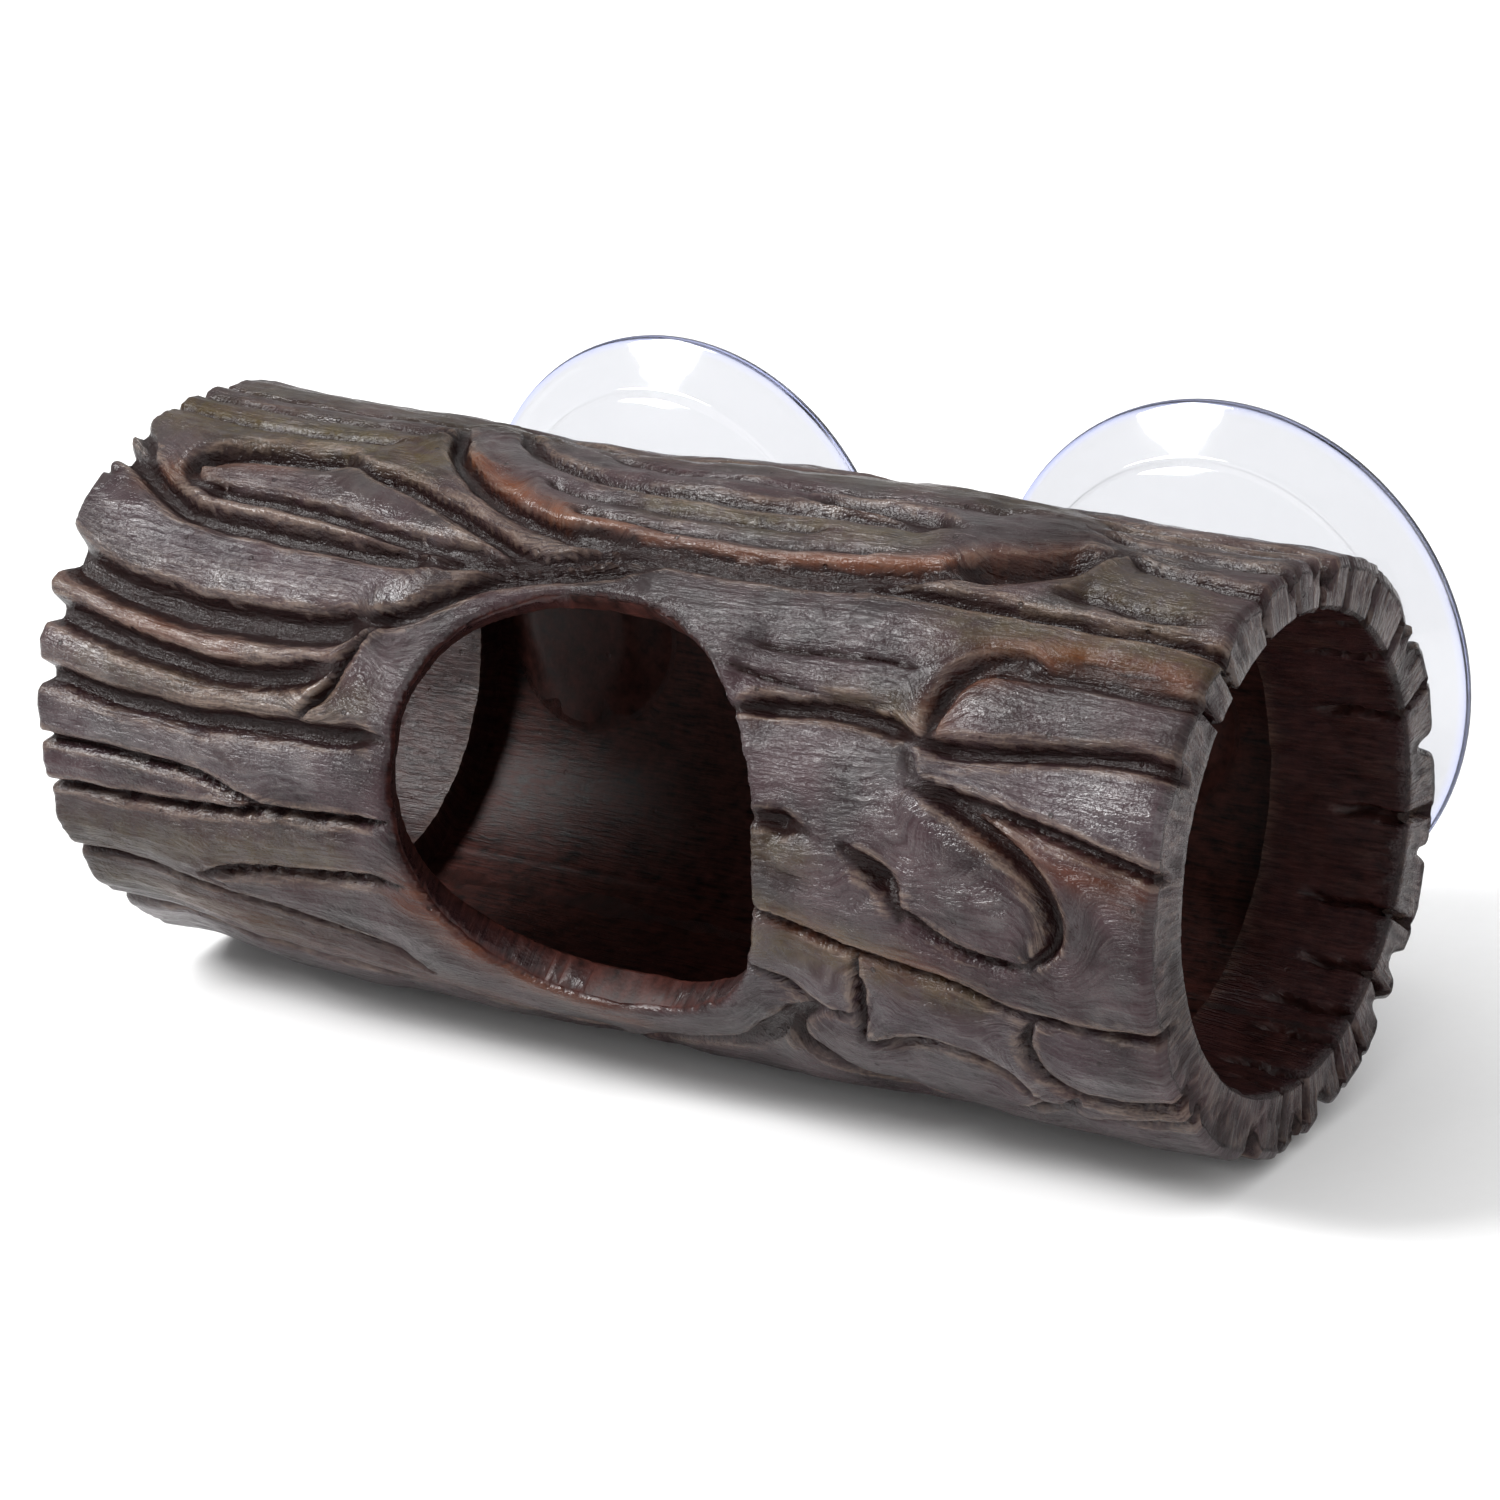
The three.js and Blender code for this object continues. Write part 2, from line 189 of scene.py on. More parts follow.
OLIVE_STROKES = [
    (6.5, 0.9, [(-95, 82), (-70, 82), (-45, 80)]),
    (4.0, 0.7, [(0, 75), (22, 74), (45, 75)]),
    (4.5, 0.7, [(60, 55.5), (78, 55), (97, 54.5)]),
    (6.0, 0.6, [(75, 74), (90, 68)]),
    (2.6, 0.6, [(36, -4), (48, -8), (60, -11)]),
    (3.5, 0.35, [(-90, 20), (-60, 16), (-35, 20)]),
    (5.0, 0.4, [(-95, 100), (-40, 104), (20, 100), (90, 98)]),
    (4.0, 0.7, [(-95, -20), (-70, -18), (-42, -14)]),
    (3.0, 0.6, [(-95, -34), (-60, -38)]),
    (2.6, 0.6, [(46, 36), (58, 35)]),
    (3.0, 0.5, [(32, 8), (44, 6)]),
    (3.0, 0.6, [(34, -12), (52, -14), (70, -16.5)]),
]
# Painted shade: strokes of the furrows' dark glaze over the lower front, and over plates above the entrance and to
# its left and right, where these lie in shade.
PAINTED_SHADE_STROKES = [
    (5.0, 0.25, [(-22, 62), (10, 57), (40, 56), (62, 57)]),
    (4.0, 0.3, [(-30, 50), (-10, 51), (14, 50)]),
    (5.0, 0.3, [(-76, 65), (-45, 63)]),
    (6.0, 0.3, [(66, 42), (84, 40), (98, 40)]),
    (6.0, 0.35, [(58, 82), (80, 80), (98, 80)]),
    (9.0, 0.35, [(-30, -34), (10, -46), (40, -46)]),
    (13.0, 0.4, [(-95, -24), (-60, -28), (-34, -34)]),
]
PLUM_STROKES = [
    (7.0, 0.8, [(40, -24), (62, -26), (84, -28)]),
    (6.0, 0.7, [(66, 25), (84, 25), (98, 23)]),
    (6.0, 0.55, [(-96, 47), (-70, 44), (-40, 43)]),
    (6.0, 0.5, [(-96, 6), (-70, 6), (-40, 6)]),
    (6.0, 0.5, [(50, -42), (70, -41), (90, -43)]),
]

# Where handling and a second coat of varnish have left the plates shinier, as strokes like those above.
SHEEN_STROKES = [
    (6.0, 1.0, [(64, 24), (78, 25), (97, 25)]),
    (3.0, 0.7, [(66, 39), (80, 41), (97, 40)]),
    (4.5, 0.8, [(24, 51), (40, 52), (58, 53)]),
    (4.0, 0.7, [(32, 26), (44, 26), (56, 23)]),
    (3.5, 0.6, [(56, 16), (68, 11), (78, 3)]),
    (5.0, 0.9, [(-92, 49), (-70, 43), (-46, 42)]),
    (3.5, 0.8, [(-90, 32), (-68, 28), (-48, 29)]),
    (3.5, 0.6, [(-90, 19), (-66, 16), (-46, 19)]),
    (4.5, 0.7, [(-40, 22), (-33, 29), (-28, 35)]),
    (3.5, 0.6, [(-72, 65), (-52, 65), (-36, 60)]),
    (3.0, 0.6, [(-90, 5), (-66, 4), (-40, 4)]),
    (4.0, 0.6, [(-20, 74), (10, 71), (40, 71)]),
]

SEAM_ANGLE = math.radians(-110)  # where the grid of the bark starts and ends
LEFT_UNDERCUT = 2.3  # millimetres that the entrance's inner edge lies to the left of its outer one
INNER_LIP = 0.6  # millimetres of rounding on the entrance's inner edge
WALL_LAYERS = 6
PAD_FILLET = 4.5  # millimetres, each way, over which a pad runs out into the cavity's wall
CORE_SEAM = 240  # degrees: the line that the core's halves left on the cavity's back wall


def noise3(points, cell, seed):
    """Smooth gradient noise, about -1 to 1, over an (..., 3) array of points, with cells of that size."""
    shuffle = np.random.default_rng(seed).permutation(256)
    slopes = np.random.default_rng(seed + 1).normal(size=(256, 3))
    slopes /= np.linalg.norm(slopes, axis=1, keepdims=True)
    scaled = points / np.asarray(cell, float)
    base = np.floor(scaled).astype(int)
    within = scaled - base
    ease = within**3 * (within * (within * 6 - 15) + 10)
    total = np.zeros(points.shape[:-1])
    for corner in range(8):
        step = np.array([corner >> 2 & 1, corner >> 1 & 1, corner & 1])
        cell_at = (base + step) & 255
        pick = shuffle[(shuffle[(shuffle[cell_at[..., 0]] + cell_at[..., 1]) & 255] + cell_at[..., 2]) & 255]
        weight = np.prod(np.where(step, ease, 1 - ease), axis=-1)
        total += weight * np.sum(slopes[pick] * (within - step), axis=-1)
    return total * 1.5


def smooth_step(low, high, value):
    share = np.clip((value - low) / (high - low), 0, 1)
    return share * share * (3 - 2 * share)


def catmull_rom(points, spacing):
    """A smooth line through the points, as places about that far apart."""
    points = np.asarray(points, float)
    padded = np.vstack([2 * points[0] - points[1], points, 2 * points[-1] - points[-2]])
    line = []
    for i in range(1, len(padded) - 2):
        before, start, end, after = padded[i - 1 : i + 3]
        count = max(2, int(np.linalg.norm(end - start) / spacing))
        share = (np.arange(count) / count)[:, None]
        line.append(
            0.5
            * (
                2 * start
                + (end - before) * share
                + (2 * before - 5 * start + 4 * end - after) * share**2
                + (3 * start - before - 3 * end + after) * share**3
            )
        )
    return np.vstack(line + [points[-1:]])


def arc_mm(degrees):
    """Degrees round the log as millimetres round its mean bark."""
    return np.radians(degrees) * LOG_RADIUS


def hidden_furrows():
    """The plainer furrows of the back and the underside, each a wandering line of its own."""
    draw = np.random.default_rng(11)
    made = []
    spacing = (HIDDEN_TO - HIDDEN_FROM) / HIDDEN_FURROWS
    for index in range(HIDDEN_FURROWS):
        angle = HIDDEN_FROM + spacing * (index + 0.5 + draw.uniform(-0.25, 0.25))
        start = -101 if index % 3 else draw.uniform(-70, -20)
        stop = 101 if index % 4 != 1 else draw.uniform(10, 60)
        along = np.linspace(start, stop, 6)
        sway = draw.uniform(-0.42, 0.42, 6) * spacing
        course = [(x, angle + s) for x, s in zip(along, sway)]
        made.append((draw.uniform(0.9, 2.0), draw.uniform(1.1, 1.9), draw.uniform(0, 0.7), course))
    return made


class Relief:
    """The sculpted bark over an (along, angle) grid: its height, and what the painter works from."""

    REACH = 13.0  # millimetres each side of a furrow that it has a say over

    def __init__(self, along, angle):
        self.columns, self.rows = along, angle * LOG_RADIUS
        self.along, self.angle = np.meshgrid(along, angle, indexing="ij")
        self.arc = self.angle * LOG_RADIUS
        self.unit = np.stack([self.along, -LOG_RADIUS * np.cos(self.angle), LOG_RADIUS * np.sin(self.angle)], -1)
        shape = self.along.shape
        self.cut = np.zeros(shape)
        self.bank = np.zeros(shape)
        self.nearest = np.full(shape, 30.0)
        self.flow_weight = np.full(shape, 0.2)
        self.flow = self.flow_weight * self.arc
        self.wander_along = 0.45 * noise3(self.unit, 9.0, 21) + 0.06 * noise3(self.unit, 3.0, 23)
        self.wander_round = 0.45 * noise3(self.unit, 9.0, 22) + 0.06 * noise3(self.unit, 3.0, 24)
        for half_width, depth, bank, course in FURROWS + hidden_furrows():
            self.carve(half_width, depth, bank, course)

    def nearest_place(self, line):
        """Distance to a line, the side of it (1 above, -1 below) and how far along it, all over the grid."""
        travelled = np.concatenate([[0], np.cumsum(np.linalg.norm(np.diff(line, axis=0), axis=1))])
        best = np.full(self.along.shape, self.REACH**2)
        side = np.ones(self.along.shape)
        where = np.zeros(self.along.shape)
        for turn in (-TURN, 0, TURN):
            shifted = line + (0, turn * LOG_RADIUS)
            if shifted[:, 1].min() > self.rows[-1] + self.REACH or shifted[:, 1].max() < self.rows[0] - self.REACH:
                continue
            for i in range(len(line) - 1):
                (ax, ay), (bx, by) = shifted[i], shifted[i + 1]
                columns = slice(*np.searchsorted(self.columns, [min(ax, bx) - self.REACH, max(ax, bx) + self.REACH]))
                rows = slice(*np.searchsorted(self.rows, [min(ay, by) - self.REACH, max(ay, by) + self.REACH]))
                window = (columns, rows)
                x = self.along[window] + self.wander_along[window] - ax
                y = self.arc[window] + self.wander_round[window] - ay
                dx, dy = bx - ax, by - ay
                length = math.hypot(dx, dy)
                share = np.clip((x * dx + y * dy) / length**2, 0, 1)
                px, py = x - share * dx, y - share * dy
                gap = px * px + py * py
                nearer = gap < best[window]
                best[window] = np.where(nearer, gap, best[window])
                side[window] = np.where(nearer, np.where(dx * py - dy * px < 0, -1.0, 1.0), side[window])
                where[window] = np.where(nearer, travelled[i] + share * length, where[window])
        return np.sqrt(best), side, where, travelled[-1]

    def carve(self, half_width, depth, bank, course):
        """Cuts one furrow, with a soft shoulder on each side, and turns the grain to run along it."""
        line = catmull_rom([(x, arc_mm(a)) for x, a in course], 1.0)
        gap, side, where, length = self.nearest_place(line)
        if course[0][0] > course[-1][0]:
            side = -side
        fade = np.ones(gap.shape)
        if abs(course[0][0]) < 100:
            fade *= smooth_step(-1, 7, where)
        if abs(course[-1][0]) < 100:
            fade *= smooth_step(-1, 7, length - where)
        fade[gap >= self.REACH] = 0
        width = half_width * (0.45 + 0.55 * fade)
        floor = (1 - smooth_step(0.45 * width, 1.45 * width, gap)) * (gap < self.REACH)
        self.cut = np.maximum(self.cut, CARVING * depth * (0.25 + 0.75 * fade) * floor)
        shoulder = 0.15 * depth * np.exp(-(((gap - 2.1 * width) / (0.8 * width)) ** 2))
        lift = 0.5 * bank * side * np.exp(-gap / 5.0) * smooth_step(0, half_width, gap)
        self.bank += (shoulder + lift) * fade
        self.nearest = np.minimum(self.nearest, np.maximum(gap - width, 0) + 8 * (1 - fade))
        near = np.exp(-((gap / 4.0) ** 2)) * fade
        middle = np.mean(line[:, 1])
        middle += LOG_RADIUS * TURN * np.round((self.arc - middle) / (LOG_RADIUS * TURN))
        self.flow += near * (side * gap + middle)
        self.flow_weight += near

    def across_grain(self):
        """A distance across the wood's grain, whose level lines run the way that the tool went."""
        return self.flow / self.flow_weight

    def height(self):
        """Millimetres above the log's mean radius."""
        across = self.across_grain()
        pillow = 1.5 * (1 - np.exp(-self.nearest / 3.8)) - 0.9
        strokes = noise3(np.stack([self.along / 20, across / 1.7, 2 * self.angle], -1), 1.0, 31)
        fine = noise3(np.stack([self.along / 8, across / 1.0, 5 * self.angle], -1), 1.0, 32)
        rolling = 0.5 * noise3(self.unit, 17.0, 33) + 0.2 * noise3(self.unit, 6.0, 34)
        chips = 0.25 * np.abs(noise3(self.unit, (12.0, 5.0, 5.0), 35)) + 0.06 * noise3(self.unit, 2.4, 36)
        on_top = 1 - smooth_step(0.2, 1.2, self.cut)
        return -self.cut + self.bank + pillow + rolling - chips + on_top * (0.26 * strokes + 0.13 * fine)


def blurred(field, radius, spacing):
    """The field averaged with a bell curve of that radius, going round the log without a seam."""
    reach = int(3 * radius / spacing)
    bell = np.exp(-0.5 * (np.arange(-reach, reach + 1) * spacing / radius) ** 2)
    bell /= bell.sum()
    round_log = sum(w * np.roll(field, k - reach, axis=1) for k, w in enumerate(bell))
    padded = np.pad(round_log, ((reach, reach), (0, 0)), mode="edge")
    return sum(w * padded[k : k + field.shape[0]] for k, w in enumerate(bell))


def brushed(relief, strokes):
    """How much glaze the strokes of one colour leave, 0 to 1, over the relief's grid."""
    amount = np.zeros(relief.along.shape)
    for radius, strength, course in strokes:
        for (ax, aa), (bx, ba) in zip(course[:-1], course[1:]):
            dx, dy = bx - ax, arc_mm(ba) - arc_mm(aa)
            x, y = relief.along - ax, relief.arc - arc_mm(aa)
            share = np.clip((x * dx + y * dy) / (dx * dx + dy * dy), 0, 1)
            gap = np.hypot(x - share * dx, y - share * dy)
            amount = np.maximum(amount, strength * np.exp(-((gap / radius) ** 2)))
    return amount


def swell(along, angle):
    """How far the log's mean radius departs from a true cylinder."""
    crown = np.interp(along, *zip(*CROWN_SWELL))
    belly = np.interp(along, *zip(*BELLY_SWELL))
    toward_crown = np.maximum(0, np.cos(angle - math.radians(CROWN_ANGLE))) ** 2
    toward_belly = np.maximum(0, np.cos(angle - math.radians(BELLY_ANGLE))) ** 2
    return crown * toward_crown + belly * toward_belly


def end_cuts(angle, radius, from_end, cuts, length):
    """How deep the saw cuts are, 0 to 1, at that distance in from an end."""
    share = np.zeros(np.broadcast(angle, from_end).shape)
    for index, degrees in enumerate(cuts):
        turn = (angle - math.radians(degrees) + math.pi) % TURN - math.pi
        across = np.abs(turn * radius + 0.3 * np.sin(0.8 * from_end + index))
        run = length * (0.9 + 0.1 * math.sin(2.7 * index))
        wide = 0.3 + 0.25 * math.sin(1.9 * index) ** 2
        cut = (1 - smooth_step(wide, wide + 0.5, across)) * (1 - smooth_step(run - 5, run, from_end))
        share = np.maximum(share, cut)
    return share


def entrance_field(along, angle, shape):
    """Above 0 outside the entrance, below 0 inside it: a superellipse, squarer towards the upper left.
    Near the edge it is close to millimetres from it."""
    half_width = shape.entrance_width / MM / 2
    half_arc = shape.entrance_arc / MM / 2
    across = (along - shape.entrance_offset / MM) / half_width
    up = (angle * LOG_RADIUS - shape.entrance_rise / MM) / half_arc
    squareness = np.where(across > 0, np.where(up > 0, 2.0, 2.4), np.where(up > 0, 2.4, 2.1))
    reach = (np.abs(across) ** squareness + np.abs(up) ** squareness) ** (1 / squareness)
    place = np.stack([along, angle * LOG_RADIUS, np.zeros_like(along)], -1)
    ragged = 0.35 * noise3(place, 6.0, 41) + 0.3 * smooth_step(0, 0.6, across) * noise3(place, 2.2, 42)
    return (reach - 1) * 0.5 * (half_width + half_arc) + ragged


# ---- Meshes ----


class Shell:
    """Collects the places, faces and painter's marks of one mesh."""

    MARKS = ("wash", "crest", "amber", "olive", "plum", "sheen", "bare", "along_grain", "across_grain")

    def __init__(self):
        self.places = []
        self.faces = []
        self.marks = {name: [] for name in self.MARKS}
        self.count = 0

    def add(self, along, radius, angle, **marks):
        """Adds places given round the log's axis, and returns their numbers in the same layout."""
        along, radius, angle = np.broadcast_arrays(along, radius, angle)
        place = [LOG_AXIS[0] + along, LOG_AXIS[1] - radius * np.cos(angle), LOG_AXIS[2] + radius * np.sin(angle)]
        marks.setdefault("along_grain", along)
        marks.setdefault("across_grain", angle * LOG_RADIUS)
        return self.add_places(np.stack(place, -1), **marks)

    def add_places(self, places, **marks):
        layout = places.shape[:-1]
        self.places.append(places.reshape(-1, 3))
        for name in self.MARKS:
            self.marks[name].append(np.broadcast_to(marks.get(name, 0.0), layout).ravel())
        size = int(np.prod(layout))
        self.count += size
        return np.arange(self.count - size, self.count).reshape(layout)

    def bridge(self, rings):
        """Quads between rings of places, each closed on itself."""
        for near, far in zip(rings[:-1], rings[1:]):
            quads = np.stack([near, far, np.roll(far, -1), np.roll(near, -1)], -1)
            self.faces.extend(quads.tolist())

    def built(self, name, material, triangles):
        """The mesh as an object, without unused places, thinned to about that many triangles."""
        used = np.unique([number for face in self.faces for number in face])
        renumbered = np.zeros(self.count, dtype=int)
        renumbered[used] = np.arange(len(used))
        renumbered = renumbered.tolist()
        faces = [[renumbered[number] for number in face] for face in self.faces]
        mesh = bpy.data.meshes.new(name)
        mesh.from_pydata((np.concatenate(self.places)[used] * MM).tolist(), [], faces)
        for mark, values in self.marks.items():
            layer = mesh.attributes.new(mark, "FLOAT", "POINT")
            layer.data.foreach_set("value", np.concatenate(values)[used].astype(np.float32))
        mesh.materials.append(material)
        made = bpy.data.objects.new(name, mesh)
        bpy.context.scene.collection.objects.link(made)
        mesh.calc_loop_triangles()
        modifier = made.modifiers.new("Thin", "DECIMATE")
        modifier.ratio = min(1.0, triangles / len(mesh.loop_triangles))
        thinned = bpy.data.meshes.new_from_object(made.evaluated_get(bpy.context.evaluated_depsgraph_get()))
        made.modifiers.clear()
        made.data = thinned
        thinned.name = name
        thinned.polygons.foreach_set("use_smooth", np.ones(len(thinned.polygons), dtype=bool))
        thinned.set_sharp_from_angle(angle=math.radians(70))
        return made


class Cuts:
    """Where a field over a grid of columns and rows crosses zero. The surface is kept where it is above.

    whole: the corners of each cell that is kept whole
    pieces: the corners of what is left of each cut cell; a corner is a grid place or a crossing
    crossings: for each crossing, the share of the way between its two grid places
    steps: the cut edge, as crossing after crossing
    """

    def __init__(self, field, first, last):
        field = field.copy()
        self.rows = field.shape[1]
        solid = self.opened_corners(field)
        after = np.roll(solid, -1, axis=1)
        kept = solid[:-1].astype(int) + solid[1:] + after[:-1] + after[1:]
        kept[:first] = kept[last:] = -1
        self.whole = np.argwhere(kept == 4)
        self.pieces = []
        self.crossings = {}
        self.steps = {}
        for i, j in np.argwhere((kept > 0) & (kept < 4)).tolist():
            k = (j + 1) % self.rows
            ring = [(i, j), (i + 1, j), (i + 1, k), (i, k)]
            piece = []
            for start, end in zip(ring, ring[1:] + ring[:1]):
                if solid[start]:
                    piece.append(start)
                if solid[start] != solid[end]:
                    crossing = (min(start, end), max(start, end))
                    low, high = field[crossing[0]], field[crossing[1]]
                    self.crossings[crossing] = low / (low - high)
                    piece.append(crossing)
                    if solid[start]:
                        leaving = crossing
                    else:
                        entering = crossing
            self.pieces.append(piece)
            self.steps[leaving] = entering

    def opened_corners(self, field):
        """Which places are kept, with no cell that is kept at two opposite corners only."""
        while True:
            solid = field > 0
            after = np.roll(solid, -1, axis=1)
            crossed = (solid[:-1] == after[1:]) & (solid[1:] == after[:-1]) & (solid[:-1] != solid[1:])
            if not crossed.any():
                return solid
            i, j = np.argwhere(crossed)[0]
            field[i : i + 2, [j, (j + 1) % self.rows]] = np.maximum(field[i : i + 2, [j, (j + 1) % self.rows]], 0.05)

    def loops(self):
        """The cut edges as closed lists of crossings."""
        left = dict(self.steps)
        while left:
            start = next(iter(left))
            loop = [start]
            while left[loop[-1]] != start:
                loop.append(left.pop(loop[-1]))
            left.pop(loop[-1])
            yield loop

    def sample(self, grid, crossings, turn=0.0):
        """A grid's values at crossings. turn is what a row gains when it goes once round."""
        values = []
        for low, high in crossings:
            a, b = grid[low], grid[high]
            if turn and abs(b - a) > turn / 2:
                b += turn if b < a else -turn
            values.append(a + (b - a) * self.crossings[(low, high)])
        return np.array(values)

    def fill(self, shell, numbers, cut_numbers, inside_out):
        """Adds the kept cells' faces to a shell."""
        i, j = self.whole.T
        k = (j + 1) % self.rows
        quads = np.stack([numbers[i, j], numbers[i + 1, j], numbers[i + 1, k], numbers[i, k]], -1)
        faces = (quads[:, ::-1] if inside_out else quads).tolist()
        for piece in self.pieces:
            face = [cut_numbers[c] if isinstance(c[0], tuple) else int(numbers[c]) for c in piece]
            faces.append(face[::-1] if inside_out else face)
        shell.faces.extend(faces)


def wall_between(shell, near, far):
    """Quads between two cut edges, or two rings, that have the same number of places."""
    for a in range(len(near)):
        b = (a + 1) % len(near)
        shell.faces.append([int(near[b]), int(near[a]), int(far[a]), int(far[b])])


def turned_wall(shell, edge, edge_places, centre, profile, inside_out):
    """Turns a profile round a cup's axis, from a cut edge to the axis. Each of its points is a radius, a
    depth from the glass, and how far the wall has gone from the edge's own depth to that one, 0 to 1."""
    offset = edge_places - centre
    spin = np.arctan2(offset[:, 2], offset[:, 0])
    rings = [np.asarray(edge)]
    for place_in, (radius, depth, share) in enumerate(profile):
        along_axis = centre[1] + offset[:, 1] * (1 - share) - depth * share
        places = [centre[0] + radius * np.cos(spin), along_axis, centre[2] + radius * np.sin(spin)]
        painted = place_in < 3 and not inside_out
        rings.append(shell.add_places(np.stack(places, -1), bare=0.0 if painted else 1.0, wash=0.5 * painted))
    if inside_out:
        rings = [ring[::-1] for ring in rings]
    for near, far in zip(rings[:-1], rings[1:]):
        wall_between(shell, near, far)
    middle = int(shell.add_places(np.array([[centre[0], centre[1] - profile[-1][1], centre[2]]]), bare=1.0)[0])
    last = rings[-1]
    for a in range(len(last)):
        shell.faces.append([int(last[(a + 1) % len(last)]), int(last[a]), middle])


def lathed(name, profile, sectors, centre, material):
    """A solid turned round the line through the glass at centre. The profile's points are (radius, depth
    from the glass), and its first and last lie on the axis."""
    spin = TURN * np.arange(sectors) / sectors
    places = [(centre[0], centre[1] - profile[0][1], centre[2])]
    for radius, depth in profile[1:-1]:
        places.extend(
            zip(
                centre[0] + radius * np.cos(spin),
                np.full(sectors, centre[1] - depth),
                centre[2] + radius * np.sin(spin),
            )
        )
    places.append((centre[0], centre[1] - profile[-1][1], centre[2]))
    faces = []
    rings = len(profile) - 2
    for sector in range(sectors):
        after = (sector + 1) % sectors
        faces.append((0, 1 + after, 1 + sector))
        for ring in range(rings - 1):
            low, high = 1 + ring * sectors, 1 + (ring + 1) * sectors
            faces.append((low + sector, low + after, high + after, high + sector))
        last = 1 + (rings - 1) * sectors
        faces.append((last + sector, last + after, len(places) - 1))
    mesh = bpy.data.meshes.new(name)
    mesh.from_pydata((np.array(places) * MM).tolist(), [], faces)
    mesh.polygons.foreach_set("use_smooth", np.ones(len(faces), dtype=bool))
    mesh.materials.append(material)
    made = bpy.data.objects.new(name, mesh)
    bpy.context.scene.collection.objects.link(made)
    return made


# ---- The log ----


def cast_log(shape, material):
    """The whole casting: bark, end rings, bores, cavity, entrance, seats and sockets in one closed shell."""
    step = shape.mesh_step / MM
    along = np.linspace(-HALF_LENGTH, HALF_LENGTH, int(2 * HALF_LENGTH / step) + 1)
    sectors = int(TURN * LOG_RADIUS / step)
    angle = SEAM_ANGLE + TURN * np.arange(sectors) / sectors
    relief = Relief(along, angle)
    shell = Shell()

    from_left, from_right = relief.along + HALF_LENGTH, HALF_LENGTH - relief.along
    from_end = np.minimum(from_left, from_right)
    seats = [cup_centre(node) for node in CUP_BODIES]
    seat_reach = np.full(relief.along.shape, 99.0)
    for centre in seats:
        across = relief.along + LOG_AXIS[0] - centre[0]
        up = LOG_RADIUS * np.sin(relief.angle) + LOG_AXIS[2] - centre[2]
        reach = np.where(np.cos(relief.angle) < 0, np.hypot(across, up), 99.0)
        seat_reach = np.minimum(seat_reach, reach)
    seat_radius = shape.seat_radius / MM
    edge = entrance_field(relief.along, relief.angle, shape)
    height = relief.height() * smooth_step(seat_radius, seat_radius + 5, seat_reach)
    base = LOG_RADIUS + swell(relief.along, relief.angle)
    base += (LOG_RADIUS - base) * (1 - smooth_step(seat_radius, seat_radius + 8, seat_reach))
    cuts_here = end_cuts(relief.angle, LOG_RADIUS, from_right, RIGHT_CUTS, 3.5)
    cuts_here += end_cuts(relief.angle, LOG_RADIUS, from_left, LEFT_CUTS, 6.0)
    end_round = rounded_edge(from_end, END_ROUND)
    hole_round = shape.edge_round / MM
    bark = base + height - 1.1 * cuts_here - end_round
    outer_radius = bark - rounded_edge(edge, hole_round)
    worn = 0.45 * relief.cut * (1 - smooth_step(0, 4, from_end))
    outer_along = relief.along - np.sign(relief.along) * worn

    sharp = height - blurred(height, 1.1, step)
    broad = height - blurred(height, 5.0, step)
    wash = smooth_step(0.2, 1.0, relief.cut) + smooth_step(0.15, 0.5, -sharp) + 0.8 * cuts_here
    # painted shade: the shade strokes add the furrows' dark glaze over plates that lie in shade
    wash = np.clip(wash + brushed(relief, PAINTED_SHADE_STROKES), 0, 1)
    crest = smooth_step(0.24, 0.46, sharp) * 0.5 + smooth_step(0.6, 1.2, broad) * 0.1
    crest = np.clip(crest * (1 - wash) * (1 - 0.7 * brushed(relief, AMBER_STROKES)), 0, 1)
    marks = {
        "wash": wash,
        "crest": crest,
        "amber": brushed(relief, AMBER_STROKES),
        "olive": brushed(relief, OLIVE_STROKES),
        "plum": brushed(relief, PLUM_STROKES),
        "sheen": brushed(relief, SHEEN_STROKES),
        "bare": 0.3 * (1 - smooth_step(0.0, 0.8, edge)),
        "across_grain": relief.across_grain(),
        "along_grain": relief.along,
    }
    outer = shell.add(outer_along, outer_radius, relief.angle, **marks)

    cavity_radius = np.full(relief.along.shape, LOG_RADIUS - shape.wall / MM)
    cavity_radius += 0.35 * noise3(relief.unit, 19.0, 51) + 0.12 * noise3(relief.unit, 6.0, 52)
    cavity_radius += 0.12 * seam_ridge(relief.angle)
    inner_round = rounded_edge(edge, INNER_LIP)
    leftness = smooth_step(0.2, 1.0, -(relief.along - shape.entrance_offset / MM) / (shape.entrance_width / MM / 2))
    inner_shift = -LEFT_UNDERCUT * leftness * np.exp(-((np.maximum(edge, 0) / 5) ** 2))
    inner_along = relief.along + inner_shift
    inner = shell.add(inner_along, cavity_radius + inner_round, relief.angle, bare=1.0)

    left_step = int(np.searchsorted(along, -HALF_LENGTH + shape.left_ring / MM))
    right_step = int(np.searchsorted(along, HALF_LENGTH - shape.right_ring / MM))
    pad_edge = shape.pad_radius / MM + PAD_FILLET
    seat_field, pad_field = edge.copy(), edge.copy()
    for centre in seats:
        for field, radius_grid, radius in ((seat_field, outer_radius, seat_radius), (pad_field, cavity_radius, pad_edge)):
            across = relief.along + LOG_AXIS[0] - centre[0]
            up = radius_grid * np.sin(relief.angle) + LOG_AXIS[2] - centre[2]
            reach = np.where(np.cos(relief.angle) < 0, np.hypot(across, up), 99.0)
            np.minimum(field, reach - radius, out=field)
    outer_cuts = Cuts(seat_field, 0, len(along) - 1)
    inner_cuts = Cuts(pad_field, left_step, right_step)

